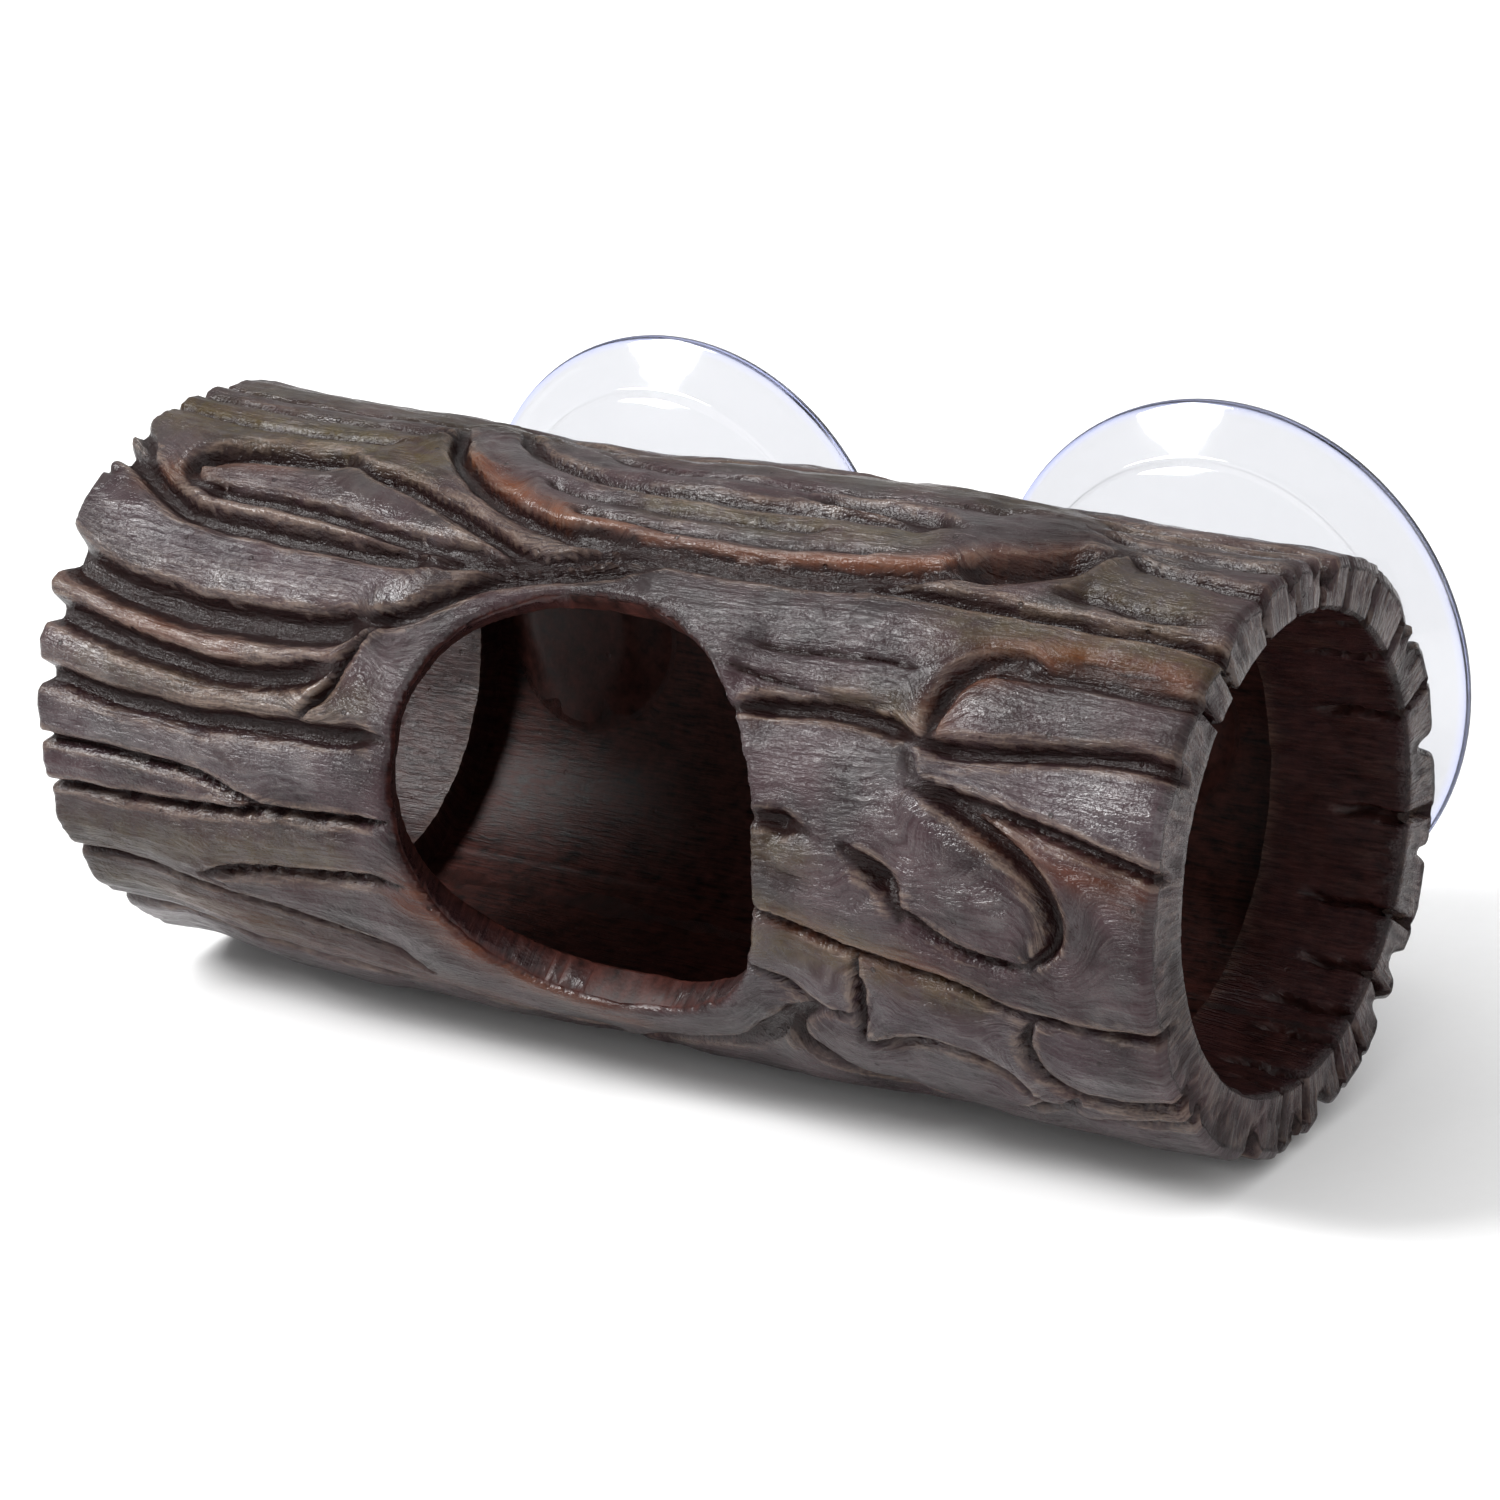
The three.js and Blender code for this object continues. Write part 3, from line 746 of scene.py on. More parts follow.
    outer_edges, inner_edges = {}, {}
    for loop in outer_cuts.loops():
        at_angle = outer_cuts.sample(relief.angle, loop, TURN)
        at_along = outer_cuts.sample(outer_along, loop)
        at_bark = outer_cuts.sample(bark, loop)
        is_entrance = np.mean(np.cos(at_angle)) > 0
        radius = at_bark - hole_round if is_entrance else outer_cuts.sample(outer_radius, loop)
        numbers = shell.add(at_along, radius, at_angle, bare=1.0 if is_entrance else 0.0)
        outer_edges.update(zip(loop, numbers.tolist()))
        if is_entrance:
            entrance = (loop, at_along, radius, at_angle)
        else:
            centre = min(seats, key=lambda seat: abs(seat[0] - LOG_AXIS[0] - np.mean(at_along)))
            turned_wall(shell, numbers, shell.places[-1], centre, socket_profile(shape), False)
    for loop in inner_cuts.loops():
        at_angle = inner_cuts.sample(relief.angle, loop, TURN)
        at_along = inner_cuts.sample(inner_along, loop)
        is_entrance = np.mean(np.cos(at_angle)) > 0
        lip = INNER_LIP if is_entrance else 0.0
        radius = inner_cuts.sample(cavity_radius, loop) + lip
        numbers = shell.add(at_along, radius, at_angle, bare=1.0)
        inner_edges.update(zip(loop, numbers.tolist()))
        if not is_entrance:
            centre = min(seats, key=lambda seat: abs(seat[0] - LOG_AXIS[0] - np.mean(at_along)))
            turned_wall(shell, numbers, shell.places[-1], centre, pad_profile(shape), True)
    outer_cuts.fill(shell, outer, outer_edges, False)
    inner_cuts.fill(shell, inner, inner_edges, True)

    loop, edge_along, edge_radius, edge_angle = entrance
    lip_along = inner_cuts.sample(inner_along, loop)
    lip_radius = inner_cuts.sample(cavity_radius, loop) + INNER_LIP
    rings = [np.array([outer_edges[c] for c in loop])]
    for layer in range(1, WALL_LAYERS):
        share = layer / WALL_LAYERS
        place = np.stack([edge_along, edge_angle * LOG_RADIUS, np.full(len(loop), 4.0 * share)], -1)
        rough = 0.16 * noise3(place, 1.6, 61) * math.sin(math.pi * share)
        outward = (edge_along - shape.entrance_offset / MM) / 32
        at_along = edge_along + (lip_along - edge_along) * share + rough * outward
        at_radius = edge_radius + (lip_radius - edge_radius) * share
        rings.append(shell.add(at_along, at_radius, edge_angle, bare=0.65 * share, wash=0.7))
    rings.append(np.array([inner_edges[c] for c in loop]))
    for near, far in zip(rings[:-1], rings[1:]):
        wall_between(shell, near, far)

    right = end_ring(shell, shape, angle, 1, outer_radius[-1], outer_along[-1], shape.right_ring / MM)
    left = end_ring(shell, shape, angle, -1, outer_radius[0], outer_along[0], shape.left_ring / MM)
    shell.bridge([outer[-1]] + right + [inner[right_step]])
    shell.bridge([inner[left_step]] + left[::-1] + [outer[0]])
    return shell.built("cast_log", material, shape.triangles)


def rounded_edge(distance, radius):
    """How far a rounded edge falls away at that distance from it."""
    run = np.clip(radius - distance, 0, radius)
    return radius - np.sqrt(np.maximum(radius**2 - run**2, 0))


def seam_ridge(angle):
    """The low seam of the core that formed the cavity, along its back wall."""
    turn = (angle - math.radians(CORE_SEAM) + math.pi) % TURN - math.pi
    return -np.exp(-((turn * LOG_RADIUS / 0.7) ** 2)) + smooth_step(-0.6, 0.6, turn * LOG_RADIUS) * np.exp(
        -np.abs(turn * LOG_RADIUS) / 9
    )


def socket_profile(shape):
    """From the edge of a cup's seat in to the floor of its socket."""
    seat, neck = shape.seat_radius / MM, shape.socket_neck / MM
    chamber, near = shape.socket_chamber / MM, shape.seat_depth / MM
    lip, floor = shape.socket_lip / MM, shape.socket_floor / MM
    return [
        (seat, near + 0.5, 1),
        (seat - 0.5, near, 1),
        (neck + 0.4, near, 1),
        (neck, near + 0.4, 1),
        (neck, lip, 1),
        (chamber, lip, 1),
        (chamber, floor, 1),
        (chamber / 2, floor, 1),
    ]


def pad_profile(shape):
    """The pad behind a socket, as a low mound that runs out softly into the cavity's wall."""
    foot = shape.pad_radius / MM + PAD_FILLET
    top = foot - 2 * PAD_FILLET
    profile = []
    for share in np.linspace(0.1, 1, 10):
        profile.append((foot + (top - foot) * share, shape.pad_depth / MM, float(smooth_step(0, 1, share))))
    profile.append((top / 2, shape.pad_depth / MM, 1))
    return profile


def end_ring(shell, shape, angle, side, rim_radius, rim_along, depth):
    """Rings from the bark round an end face and in along its bore, up to the cavity."""
    cuts = RIGHT_CUTS if side > 0 else LEFT_CUTS
    mouth = LOG_RADIUS - shape.rim_wall / MM
    inner = mouth - shape.rim_taper / MM
    rings = []
    end = np.abs(rim_along)

    def place_ring(radius, from_middle, **marks):
        rings.append(shell.add(side * from_middle, radius, angle, **marks))

    def unit(radius, from_end):
        return np.stack(
            [np.full(len(angle), side * (HALF_LENGTH - from_end)), -radius * np.cos(angle), radius * np.sin(angle)],
            -1,
        )

    face_steps = 13
    for index in range(1, face_steps + 1):
        share = index / face_steps
        radius = rim_radius + (mouth + 0.6 - rim_radius) * share
        end_here = end + (HALF_LENGTH - end) * min(1.0, 3 * share)
        middle = unit(radius, 0.0)
        radial = noise3(np.stack([angle * 34, radius / 7, 0 * angle + side], -1), 1.0, 71)
        chips = 0.5 * radial + 0.3 * noise3(middle, 3.0, 72) + 0.8 * np.maximum(0, noise3(middle, 7.0, 73))
        deep = end_cuts(angle, LOG_RADIUS - 5, np.zeros(len(angle)), cuts, 9.0)
        body = math.sin(math.pi * min(1.0, 0.15 + share))
        place_ring(
            radius,
            end_here - np.abs(chips) * (0.3 + 0.7 * body) - 1.9 * deep,
            wash=np.clip(deep + 0.2 + 0.6 * smooth_step(0.15, 0.5, np.abs(chips)), 0, 1),
            crest=0.25 * (1 - smooth_step(0.02, 0.2, np.abs(chips))),
            along_grain=radius + 0 * angle,
        )
    bore_steps = int(depth / 0.6)
    for index in range(1, bore_steps + 1):
        from_end = depth * index / bore_steps
        radius = mouth + (inner - mouth) * from_end / depth
        middle = unit(radius, from_end)
        cut = end_cuts(angle, radius, np.full(len(angle), from_end), cuts, CUT_RUN)
        rough = 0.3 * noise3(middle, (9.0, 4.0, 4.0), 74) + 0.2 * noise3(middle, (5.0, 1.4, 1.4), 75)
        place_ring(
            radius + rough + 1.9 * cut,
            HALF_LENGTH - from_end,
            wash=np.clip(0.5 + cut, 0, 1),
            bare=0.5 * float(smooth_step(-1, 4, from_end)),
            # the second term is a painted highlight: a thin tan line along the ring's inner edge, where it steps to
            # the cavity
            crest=0.3 * smooth_step(0.1, 0.4, -rough) + 0.4 * float(smooth_step(depth - 0.9, depth, from_end)),
        )
    cavity = LOG_RADIUS - shape.wall / MM
    for index in range(1, 6):
        share = index / 6
        radius = inner + (cavity - inner) * share
        rough = 0.35 * noise3(unit(radius, depth), 2.6, 76)
        # painted shade: the step face from the bore out to the cavity's wall is darkened with the furrows' glaze
        place_ring(radius, HALF_LENGTH - depth - rough, wash=0.9, bare=0.6)
    return rings


# ---- Finishes ----

# The places of a colour Mix node's sockets
FACTOR, FIRST, SECOND, RESULT = 0, 6, 7, 2


def add_node(tree, kind, inputs=None, **settings):
    """Adds a node. An input is a value, or the output socket of another node."""
    made = tree.nodes.new(kind)
    for name, value in settings.items():
        setattr(made, name, value)
    for name, value in (inputs or {}).items():
        if isinstance(value, bpy.types.NodeSocket):
            tree.links.new(value, made.inputs[name])
        else:
            made.inputs[name].default_value = value
    return made


def new_material(name):
    """A material with an empty node tree, and its output node."""
    material = bpy.data.materials.new(name)
    material.use_nodes = True
    material.node_tree.nodes.clear()
    return material, material.node_tree


def painted_polyresin(colours):
    """Polyresin cast in a soft mould, painted by hand and varnished: a dark base coat, thin glazes that
    pool in the furrows, painted shade in the same dark glaze over some plates, tan drybrushed onto the
    crests with a painted highlight in that tan along the end rings' inner edges, and a satin varnish that
    gives long soft sheens. Bristle marks and pinholes from the casting break up the sheen."""
    material, tree = new_material("painted_polyresin")
    place = add_node(tree, "ShaderNodeTexCoord").outputs["Object"]
    mm_place = add_node(tree, "ShaderNodeVectorMath", {0: place, 1: (1 / MM,) * 3}, operation="MULTIPLY").outputs[0]

    def mark(name):
        return add_node(tree, "ShaderNodeAttribute", attribute_name=name).outputs["Fac"]

    def pattern(vector, size, detail=3.0, rough=0.55):
        """Noise whose features are about that many millimetres across."""
        inputs = {"Vector": vector, "Scale": 1 / size, "Detail": detail, "Roughness": rough}
        return add_node(tree, "ShaderNodeTexNoise", inputs).outputs["Fac"]

    def stretched(source, low, high, to_low=0.0, to_high=1.0):
        inputs = {"Value": source, "From Min": low, "From Max": high, "To Min": to_low, "To Max": to_high}
        return add_node(tree, "ShaderNodeMapRange", inputs, clamp=True).outputs[0]

    def times(first, second):
        return add_node(tree, "ShaderNodeMath", {0: first, 1: second}, operation="MULTIPLY").outputs[0]

    def plus(first, second):
        return add_node(tree, "ShaderNodeMath", {0: first, 1: second}, operation="ADD").outputs[0]

    def glazed(amount, under, over):
        inputs = {FACTOR: amount, FIRST: under, SECOND: over}
        return add_node(tree, "ShaderNodeMix", inputs, data_type="RGBA").outputs[RESULT]

    grain_place = add_node(
        tree,
        "ShaderNodeCombineXYZ",
        {"X": times(mark("along_grain"), 1 / 7), "Y": mark("across_grain"), "Z": 0.0},
    ).outputs[0]
    bristles = pattern(grain_place, 0.75, detail=4.0, rough=0.6)
    broad_bristles = pattern(grain_place, 2.6, detail=2.0)
    patches = pattern(mm_place, 11.0, detail=4.0)
    mottle = pattern(mm_place, 2.6, detail=5.0, rough=0.65)
    grit = pattern(mm_place, 0.55, detail=2.0)
    cells = add_node(tree, "ShaderNodeTexVoronoi", {"Vector": mm_place, "Scale": 1 / 5.5}, feature="F1")
    pinholes = stretched(cells.outputs["Distance"], 0.05, 0.09, 1.0, 0.0)

    def hue(name):
        return (*getattr(colours, name), 1.0)

    coat = glazed(stretched(patches, 0.36, 0.64), hue("base_dark"), hue("base_light"))
    coat = glazed(times(mark("plum"), stretched(mottle, 0.3, 0.6, 0.35, 0.9)), coat, hue("plum"))
    coat = glazed(times(mark("olive"), stretched(mottle, 0.35, 0.6, 0.2, 0.8)), coat, hue("olive"))
    coat = glazed(times(mark("amber"), stretched(broad_bristles, 0.3, 0.62, 0.25, 0.95)), coat, hue("amber"))
    coat = glazed(times(stretched(bristles, 0.54, 0.74), 0.06), coat, hue("tan"))
    coat = glazed(times(stretched(bristles, 0.46, 0.3), 0.2), coat, hue("wash"))
    # the furrows' dark glaze, with painted shade where the shade strokes add to the same mark
    pooled_wash_and_shade = times(mark("wash"), stretched(mottle, 0.25, 0.55, 0.7, 1.0))
    coat = glazed(pooled_wash_and_shade, coat, hue("wash"))
    # tan drybrushed onto the crests, and the painted highlight along the end rings' inner edges
    dry_brush_and_highlight = times(mark("crest"), stretched(plus(bristles, times(grit, 0.4)), 0.6, 0.8, 0.2, 0.8))
    coat = glazed(dry_brush_and_highlight, coat, hue("tan"))
    bark = glazed(times(pinholes, 0.75), coat, hue("wash"))
    core = glazed(stretched(plus(bristles, mottle), 0.75, 1.25), hue("core_dark"), hue("core_light"))
    bare = mark("bare")
    colour = glazed(bare, bark, core)

    varnish = stretched(plus(mottle, times(bristles, 0.6)), 0.55, 1.05, 0.18, 0.28)
    matt = plus(varnish, times(bare, 0.2))
    raised = add_node(tree, "ShaderNodeMath", {0: 1.0, 1: mark("wash")}, operation="SUBTRACT").outputs[0]
    polish = times(stretched(plus(pattern(mm_place, 13.0), times(bristles, 0.8)), 0.8, 1.05), raised)
    unpainted = stretched(bare, 0.5, 1.0)
    gloss = plus(times(times(polish, stretched(bare, 0.5, 1.0, 1.0, 0.0)), 0.3), stretched(unpainted, 0.0, 1.0, 0.2, 0.13))
    sheen = times(times(mark("sheen"), raised), stretched(plus(bristles, mottle), 0.8, 1.15, 0.1, 1.0))
    gloss = plus(gloss, times(sheen, 0.42))
    height = plus(times(bristles, 1.25), plus(times(grit, 0.35), times(mottle, 0.25)))
    height = plus(height, times(pinholes, -0.5))
    smooth_core = stretched(bare, 0.0, 1.0, 1.0, 0.2)
    bump = add_node(
        tree,
        "ShaderNodeBump",
        {"Height": times(height, smooth_core), "Strength": 1.0, "Distance": 0.42 * MM},
    ).outputs["Normal"]
    shader = add_node(
        tree,
        "ShaderNodeBsdfPrincipled",
        {
            "Base Color": colour,
            "Roughness": matt,
            "IOR": 1.5,
            "Specular IOR Level": gloss,
            "Normal": bump,
        },
    )
    add_node(tree, "ShaderNodeOutputMaterial", {"Surface": shader.outputs[0]})
    return material


def clear_pvc(colours):
    """Soft clear vinyl, injection moulded in polished steel: glossy all over, with faint flow marks, and
    a blue-violet cast where the light has come a long way through it to the thin edge."""
    material, tree = new_material("clear_pvc")
    place = add_node(tree, "ShaderNodeTexCoord").outputs["Object"]
    mm_place = add_node(tree, "ShaderNodeVectorMath", {0: place, 1: (1 / MM,) * 3}, operation="MULTIPLY").outputs[0]
    flow = add_node(tree, "ShaderNodeTexNoise", {"Vector": mm_place, "Scale": 1 / 9.0, "Detail": 2.0}).outputs["Fac"]
    rough = add_node(
        tree,
        "ShaderNodeMapRange",
        {"Value": flow, "From Min": 0.3, "From Max": 0.7, "To Min": 0.04, "To Max": 0.1},
    ).outputs[0]
    edge = add_node(tree, "ShaderNodeAttribute", attribute_name="edge").outputs["Fac"]
    inputs = {FACTOR: edge, FIRST: (*colours.vinyl, 1.0), SECOND: (*colours.vinyl_edge, 1.0)}
    colour = add_node(tree, "ShaderNodeMix", inputs, data_type="RGBA").outputs[RESULT]
    bump = add_node(tree, "ShaderNodeBump", {"Height": flow, "Strength": 0.3, "Distance": 0.3 * MM})
    shader = add_node(
        tree,
        "ShaderNodeBsdfPrincipled",
        {
            "Base Color": colour,
            "Roughness": rough,
            "IOR": 1.53,
            "Transmission Weight": 1.0,
            "Normal": bump.outputs["Normal"],
        },
    )
    add_node(tree, "ShaderNodeOutputMaterial", {"Surface": shader.outputs[0]})
    return material


def studio_card():
    """Matt white card, which takes a soft shadow and shows next to no gloss."""
    material, tree = new_material("studio_card")
    place = add_node(tree, "ShaderNodeTexCoord").outputs["Object"]
    fibre = add_node(tree, "ShaderNodeTexNoise", {"Vector": place, "Scale": 400.0, "Detail": 2.0}).outputs["Fac"]
    white = {FACTOR: fibre, FIRST: (*linear("#fafafa"), 1.0), SECOND: (*linear("#fdfdfd"), 1.0)}
    colour = add_node(tree, "ShaderNodeMix", white, data_type="RGBA").outputs[RESULT]
    shader = add_node(tree, "ShaderNodeBsdfPrincipled", {"Base Color": colour, "Roughness": 0.95})
    add_node(tree, "ShaderNodeOutputMaterial", {"Surface": shader.outputs[0]})
    return material


# ---- What a user can change ----


def size(name, description, millimetres):
    return FloatProperty(name=name, description=description, default=millimetres * MM, unit="LENGTH", precision=4)


def colour(name, description, code):
    return FloatVectorProperty(
        name=name, description=description, default=linear(code), subtype="COLOR", size=3, min=0, max=1
    )


class LogCaveShape(bpy.types.PropertyGroup):
    """Sizes of the casting. Its length and its radius come from the frame."""

    wall: size("Wall", "Mean bark to the smooth cavity", 5.4)
    rim_wall: size("Rim wall", "Mean bark to the bore of an end ring, at its mouth", 9.8)
    rim_taper: size("Rim taper", "How much narrower that bore is at its inner edge", 1.4)
    left_ring: size("Left ring", "Depth of the thick ring in the left end", 29)
    right_ring: size("Right ring", "Depth of the thick ring in the right end", 22)
    entrance_offset: size("Entrance offset", "From the middle of the log, to the right", 3.5)
    entrance_rise: size("Entrance rise", "Above the foremost line, measured round the bark", 4)
    entrance_width: size("Entrance width", "Across the entrance, along the log", 64.6)
    entrance_arc: size("Entrance height", "Across the entrance, measured round the bark", 68)
    edge_round: size("Edge rounding", "Radius of the entrance's outer edge", 1.2)
    seat_radius: size("Seat radius", "Of the flat seat for a suction cup", 12)
    seat_depth: size("Seat depth", "Glass to the seat", 20)
    socket_neck: size("Socket mouth", "Radius of the socket's mouth", 5.4)
    socket_chamber: size("Socket chamber", "Radius behind the mouth", 7.6)
    socket_lip: size("Socket lip", "Glass to the back of the mouth", 23)
    socket_floor: size("Socket floor", "Glass to the bottom of the socket", 28.2)
    pad_radius: size("Pad radius", "Of the pad in the cavity behind a socket", 13)
    pad_depth: size("Pad depth", "Glass to the face of that pad", 31.2)
    mesh_step: size("Mesh step", "Distance between the places that the bark is worked out at", 0.58)
    triangles: IntProperty(name="Triangles", description="About how many the finished casting has", default=195000)


class LogCaveCup(bpy.types.PropertyGroup):
    """Sizes of a suction cup. Its radius and its length come from the frame."""

    dome: size("Dome", "Glass to the top of the dome", 15.5)
    hollow: size("Hollow", "Glass to the top of the hollow", 9)
    land: size("Lip land", "Width of the flat ring that seals on the glass", 2)
    lip: size("Lip edge", "Thickness at the very edge", 0.8)
    step_radius: size("Step radius", "Of the faint moulded step on the dome", 33.7)
    step: size("Step", "Height of that step", 0.6)
    shoulder: size("Shoulder", "Radius of the boss that meets the seat", 8.5)
    shoulder_depth: size("Shoulder depth", "Glass to the face of that boss", 19.7)
    neck: size("Neck", "Radius of the neck", 5)
    head: size("Head", "Radius of the mushroom head", 7.2)
    head_height: size("Head height", "Of the mushroom head", 4.6)


class LogCaveColours(bpy.types.PropertyGroup):
    """Colours of the paint on the casting and of the vinyl of the cups."""

    base_dark: colour("Base, dark", "Base coat where it lies thick", "#1b0f12")
    base_light: colour("Base, light", "Base coat where it is rubbed thin", "#362428")
    # also the colour of the painted highlight along the end rings' inner edges
    tan: colour("Tan", "Dry brush on the crests", "#846f60")
    # also the colour of the painted shade laid by the shade strokes
    wash: colour("Wash", "Dark glaze in the furrows", "#1c0e0d")
    amber: colour("Amber", "Orange-brown glaze", "#663000")
    olive: colour("Olive", "Olive glaze", "#423505")
    plum: colour("Plum", "Grey-purple glaze", "#35282e")
    core_dark: colour("Core, dark", "Resin of the cavity, in its hollows", "#110908")
    core_light: colour("Core, light", "Resin of the cavity", "#45241f")
    vinyl: colour("Vinyl", "Clear vinyl", "#cbccd0")
    vinyl_edge: colour("Vinyl edge", "Cast of the vinyl at its edge", "#c0c8fa")


# ---- Building ----


class LOGCAVE_OT_cast_log(bpy.types.Operator):
    """Builds the cast log with its bark, entrance, end rings and cup sockets"""

    bl_idname = "log_cave.cast_log"
    bl_label = "Cast log"
    bl_options = {"REGISTER", "UNDO"}

    def execute(self, context):
        scene = context.scene
        made = cast_log(scene.log_cave_shape, painted_polyresin(scene.log_cave_colours))
        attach(made, "log")
        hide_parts("log_casting")
        return {"FINISHED"}


def cup_profile(cup, radius, length):
    """A cup's outline from the top of its hollow round to the top of its head."""
    hollow_radius = radius - cup.land / MM
    lip, hollow, dome = cup.lip / MM, cup.hollow / MM, cup.dome / MM
    step_radius, step = cup.step_radius / MM, cup.step / MM
    shoulder, shoulder_depth = cup.shoulder / MM, cup.shoulder_depth / MM
    neck, head = cup.neck / MM, cup.head / MM
    head_start = length - cup.head_height / MM
    rise = dome - step - lip
    profile = []
    for share in np.linspace(0, 1, 26):
        profile.append((hollow_radius * share, hollow * (1 - share**2)))
    profile += [(hollow_radius + 0.4, 0.0), (radius - 0.15, 0.0), (radius, 0.15), (radius, lip - 0.2)]
    for reach in np.linspace(radius - 0.2, step_radius + 0.3, 12):
        profile.append((reach, lip + rise * (1 - (reach / radius) ** 2)))
    for share in np.linspace(0, 1, 5):
        reach = step_radius + 0.3 - (step + 0.3) * share
        profile.append((reach, lip + rise * (1 - (reach / radius) ** 2) + step * float(smooth_step(0, 1, share))))
    for share in np.linspace(0.05, 1, 22):
        reach = step_radius - step + (shoulder + 1.5 - step_radius + step) * share
        profile.append((reach, lip + rise * (1 - (reach / radius) ** 2) + step))
    foot = profile[-1][1]
    for share in np.linspace(0.2, 1, 5):
        turn = share * math.pi / 2
        profile.append((shoulder + 1.5 * (1 - math.sin(turn)), foot + 1.2 * (1 - math.cos(turn))))
    profile += [(shoulder, shoulder_depth - 0.4), (shoulder - 0.4, shoulder_depth)]
    profile += [(neck + 0.3, shoulder_depth), (neck, shoulder_depth + 0.3), (neck, head_start)]
    for share in np.linspace(0, 1, 9):
        turn = share * math.pi / 2
        profile.append((head * math.cos(turn * 0.92), head_start + (length - head_start) * math.sin(turn)))
    profile.append((0, length))
    return profile


class LOGCAVE_OT_suction_cups(bpy.types.Operator):
    """Builds the two clear suction cups"""

    bl_idname = "log_cave.suction_cups"
    bl_label = "Suction cups"
    bl_options = {"REGISTER", "UNDO"}

    def execute(self, context):
        scene = context.scene
        vinyl = clear_pvc(scene.log_cave_colours)
        for node, body in CUP_BODIES.items():
            low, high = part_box(node)
            radius = cup_radius(node)
            centre = cup_centre(node)
            profile = cup_profile(scene.log_cave_cup, radius, (high[1] - low[1]) / MM)
            made = lathed(node.replace("suction_cup", "vinyl_cup"), profile, 128, centre, vinyl)
            places = np.empty(len(made.data.vertices) * 3)
            made.data.vertices.foreach_get("co", places)
            offset = places.reshape(-1, 3) / MM - centre
            edge = smooth_step(radius - 1.6, radius - 0.2, np.hypot(offset[:, 0], offset[:, 2]))
            layer = made.data.attributes.new("edge", "FLOAT", "POINT")
            layer.data.foreach_set("value", edge.astype(np.float32))
            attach(made, body)
            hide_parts(node)
        return {"FINISHED"}


def area_light(name, place, target, width, watts):
    light = bpy.data.lights.new(name, "AREA")
    light.size = width
    light.energy = watts
    made = bpy.data.objects.new(name, light)
    made.location = place
    made.rotation_euler = (Vector(target) - Vector(place)).to_track_quat("-Z", "Y").to_euler()
    bpy.context.scene.collection.objects.link(made)


def floor_card(height, half_width):
    """A large square card of four squares, level with the lowest of the log."""
    places = [(x * half_width, y * half_width, height) for y in (-1, 0, 1) for x in (-1, 0, 1)]
    faces = [(c, c + 1, c + 4, c + 3) for c in (0, 1, 3, 4)]
    mesh = bpy.data.meshes.new("floor")
    mesh.from_pydata(places, [], faces)
    mesh.materials.append(studio_card())
    made = bpy.data.objects.new("floor", mesh)
    bpy.context.scene.collection.objects.link(made)


def view_from(place, azimuth, elevation, roll, lens):
    """A camera at a place, turned by azimuth and elevation, and rolled about its own line of sight."""
    az, el, tilt = (math.radians(a) for a in (azimuth, elevation, roll))
    ahead = -Vector((math.sin(az) * math.cos(el), -math.cos(az) * math.cos(el), math.sin(el)))
    right = ahead.cross(Vector((0, 0, 1))).normalized()
    up = right.cross(ahead)
    rolled_right = math.cos(tilt) * right + math.sin(tilt) * up
    rolled_up = -math.sin(tilt) * right + math.cos(tilt) * up
    camera = bpy.data.cameras.new("camera")
    camera.lens = lens
    camera.sensor_width = 36
    camera.clip_start = 0.01
    made = bpy.data.objects.new("camera", camera)
    turn = Matrix((rolled_right, rolled_up, -ahead)).transposed().to_4x4()
    made.matrix_world = Matrix.Translation(place) @ turn
    bpy.context.scene.collection.objects.link(made)
    bpy.context.scene.camera = made


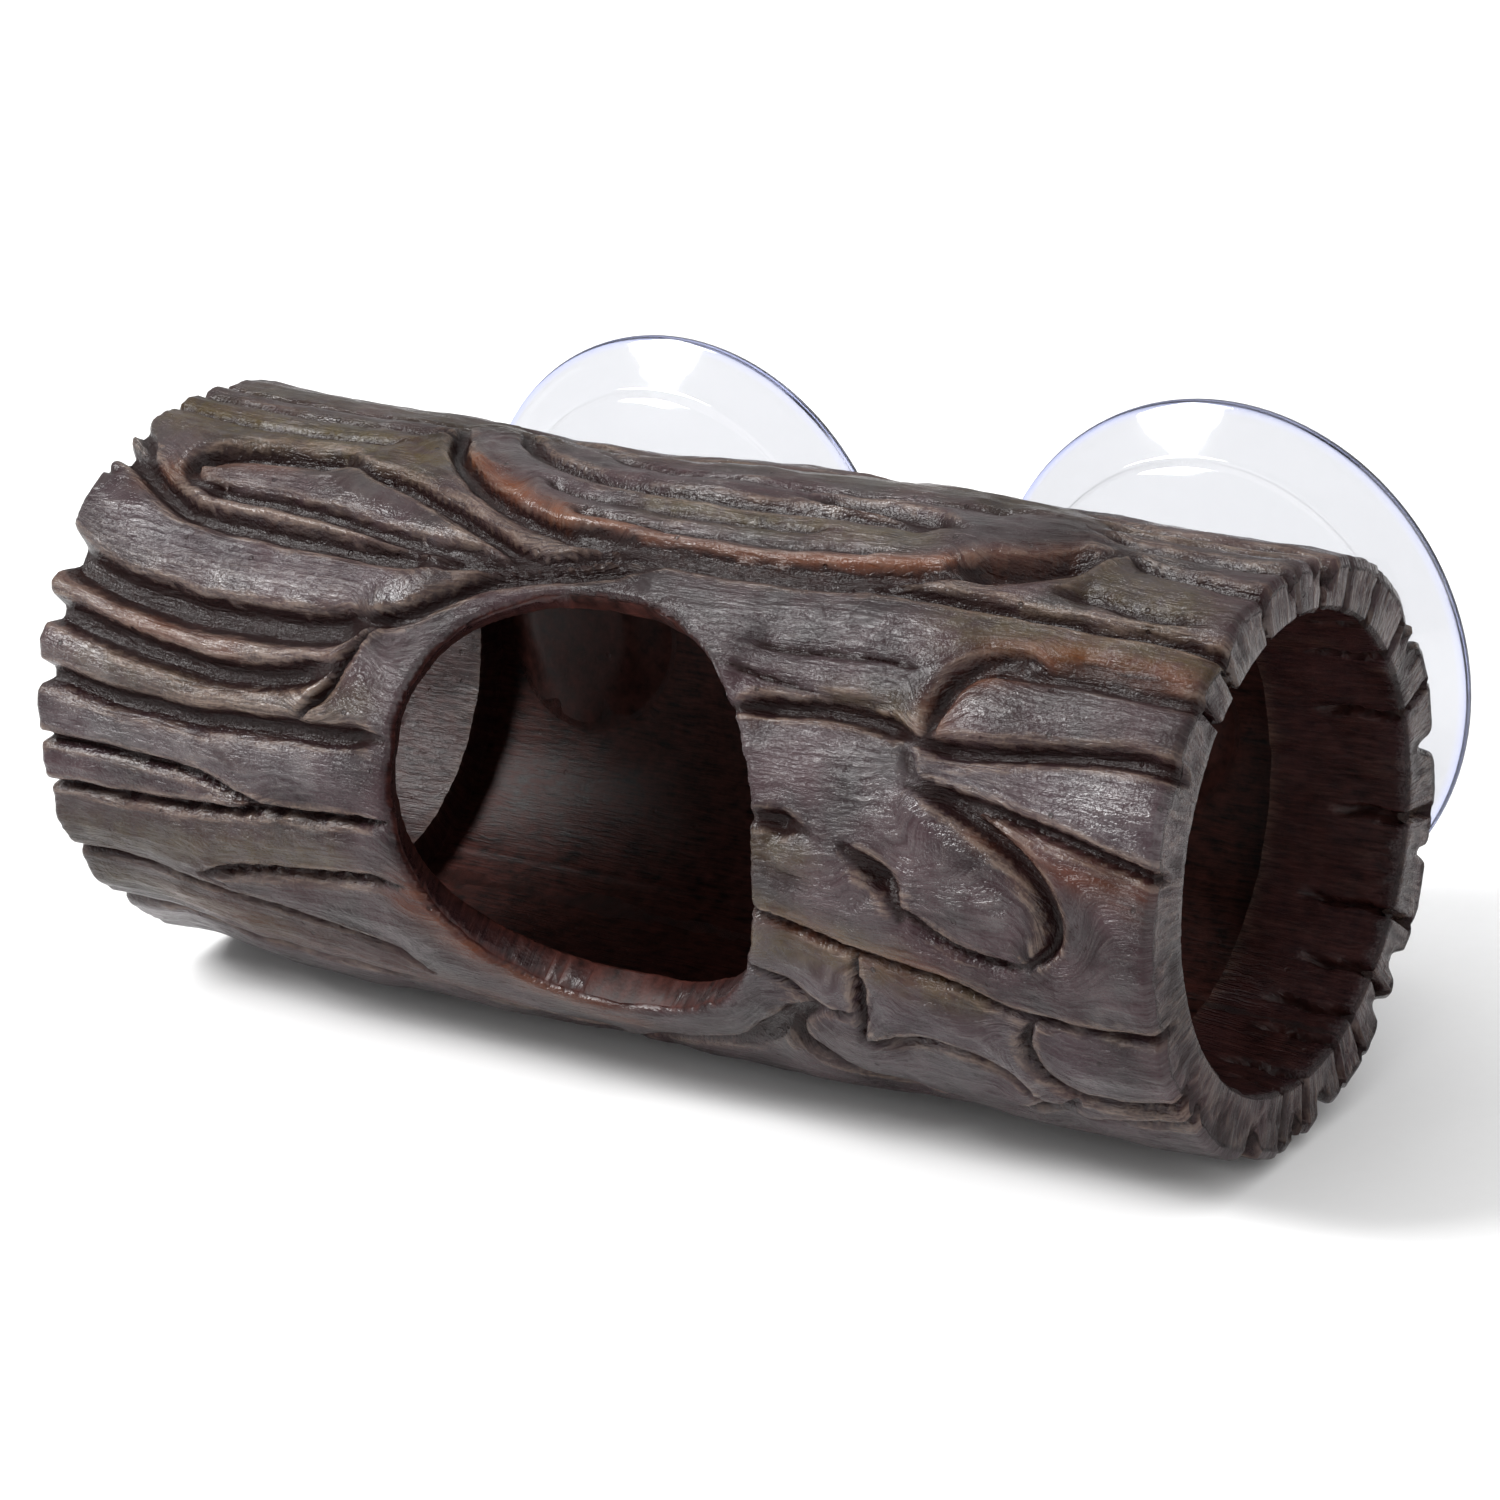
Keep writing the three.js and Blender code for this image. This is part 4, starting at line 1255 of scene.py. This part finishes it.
class LOGCAVE_OT_studio(bpy.types.Operator):
    """Builds the floor, the lights and the camera"""

    bl_idname = "log_cave.studio"
    bl_label = "Studio"
    bl_options = {"REGISTER", "UNDO"}

    def execute(self, context):
        scene = context.scene
        middle = (LOG_AXIS * MM).tolist()
        floor_card(LOG_LOW[2] * MM, 2.0)
        area_light("key", (-1.08, -0.96, 1.32), middle, 0.7, 42.0)
        area_light("overhead", (0.0, 0.9, 2.2), (0.0, 0.9, 0.0), 3.4, 26.0)
        area_light("fill", (0.9, -0.6, 0.5), middle, 0.6, 2.0)
        world = bpy.data.worlds.new("studio_air")
        world.use_nodes = True
        background = world.node_tree.nodes["Background"]
        background.inputs["Color"].default_value = (1, 1, 1, 1)
        background.inputs["Strength"].default_value = 0.62
        scene.world = world
        scene.view_settings.view_transform = "Standard"
        view_from((0.3642, -0.5844, 0.2181), azimuth=34.7, elevation=19.2, roll=-2.83, lens=105.14)
        return {"FINISHED"}


class LOGCAVE_PT_panel(bpy.types.Panel):
    """Lists what this add-on builds, and the sizes and colours that it uses"""

    bl_label = "Hollow Log Cave"
    bl_idname = "LOGCAVE_PT_panel"
    bl_space_type = "VIEW_3D"
    bl_region_type = "UI"
    bl_category = "Log Cave"

    def draw(self, context):
        for operator in BUILDERS:
            self.layout.operator(operator.bl_idname)
        for group in (context.scene.log_cave_shape, context.scene.log_cave_cup, context.scene.log_cave_colours):
            box = self.layout.box()
            for name in group.__annotations__:
                box.prop(group, name)


BUILDERS = (LOGCAVE_OT_cast_log, LOGCAVE_OT_suction_cups, LOGCAVE_OT_studio)
CLASSES = (LogCaveShape, LogCaveCup, LogCaveColours, *BUILDERS, LOGCAVE_PT_panel)


def register():
    for made in CLASSES:
        bpy.utils.register_class(made)
    bpy.types.Scene.log_cave_shape = PointerProperty(type=LogCaveShape)
    bpy.types.Scene.log_cave_cup = PointerProperty(type=LogCaveCup)
    bpy.types.Scene.log_cave_colours = PointerProperty(type=LogCaveColours)


def unregister():
    del bpy.types.Scene.log_cave_colours
    del bpy.types.Scene.log_cave_cup
    del bpy.types.Scene.log_cave_shape
    for made in reversed(CLASSES):
        bpy.utils.unregister_class(made)


def main():
    register()
    bpy.ops.log_cave.cast_log()
    bpy.ops.log_cave.suction_cups()
    bpy.ops.log_cave.studio()


if __name__ == "__main__":
    main()
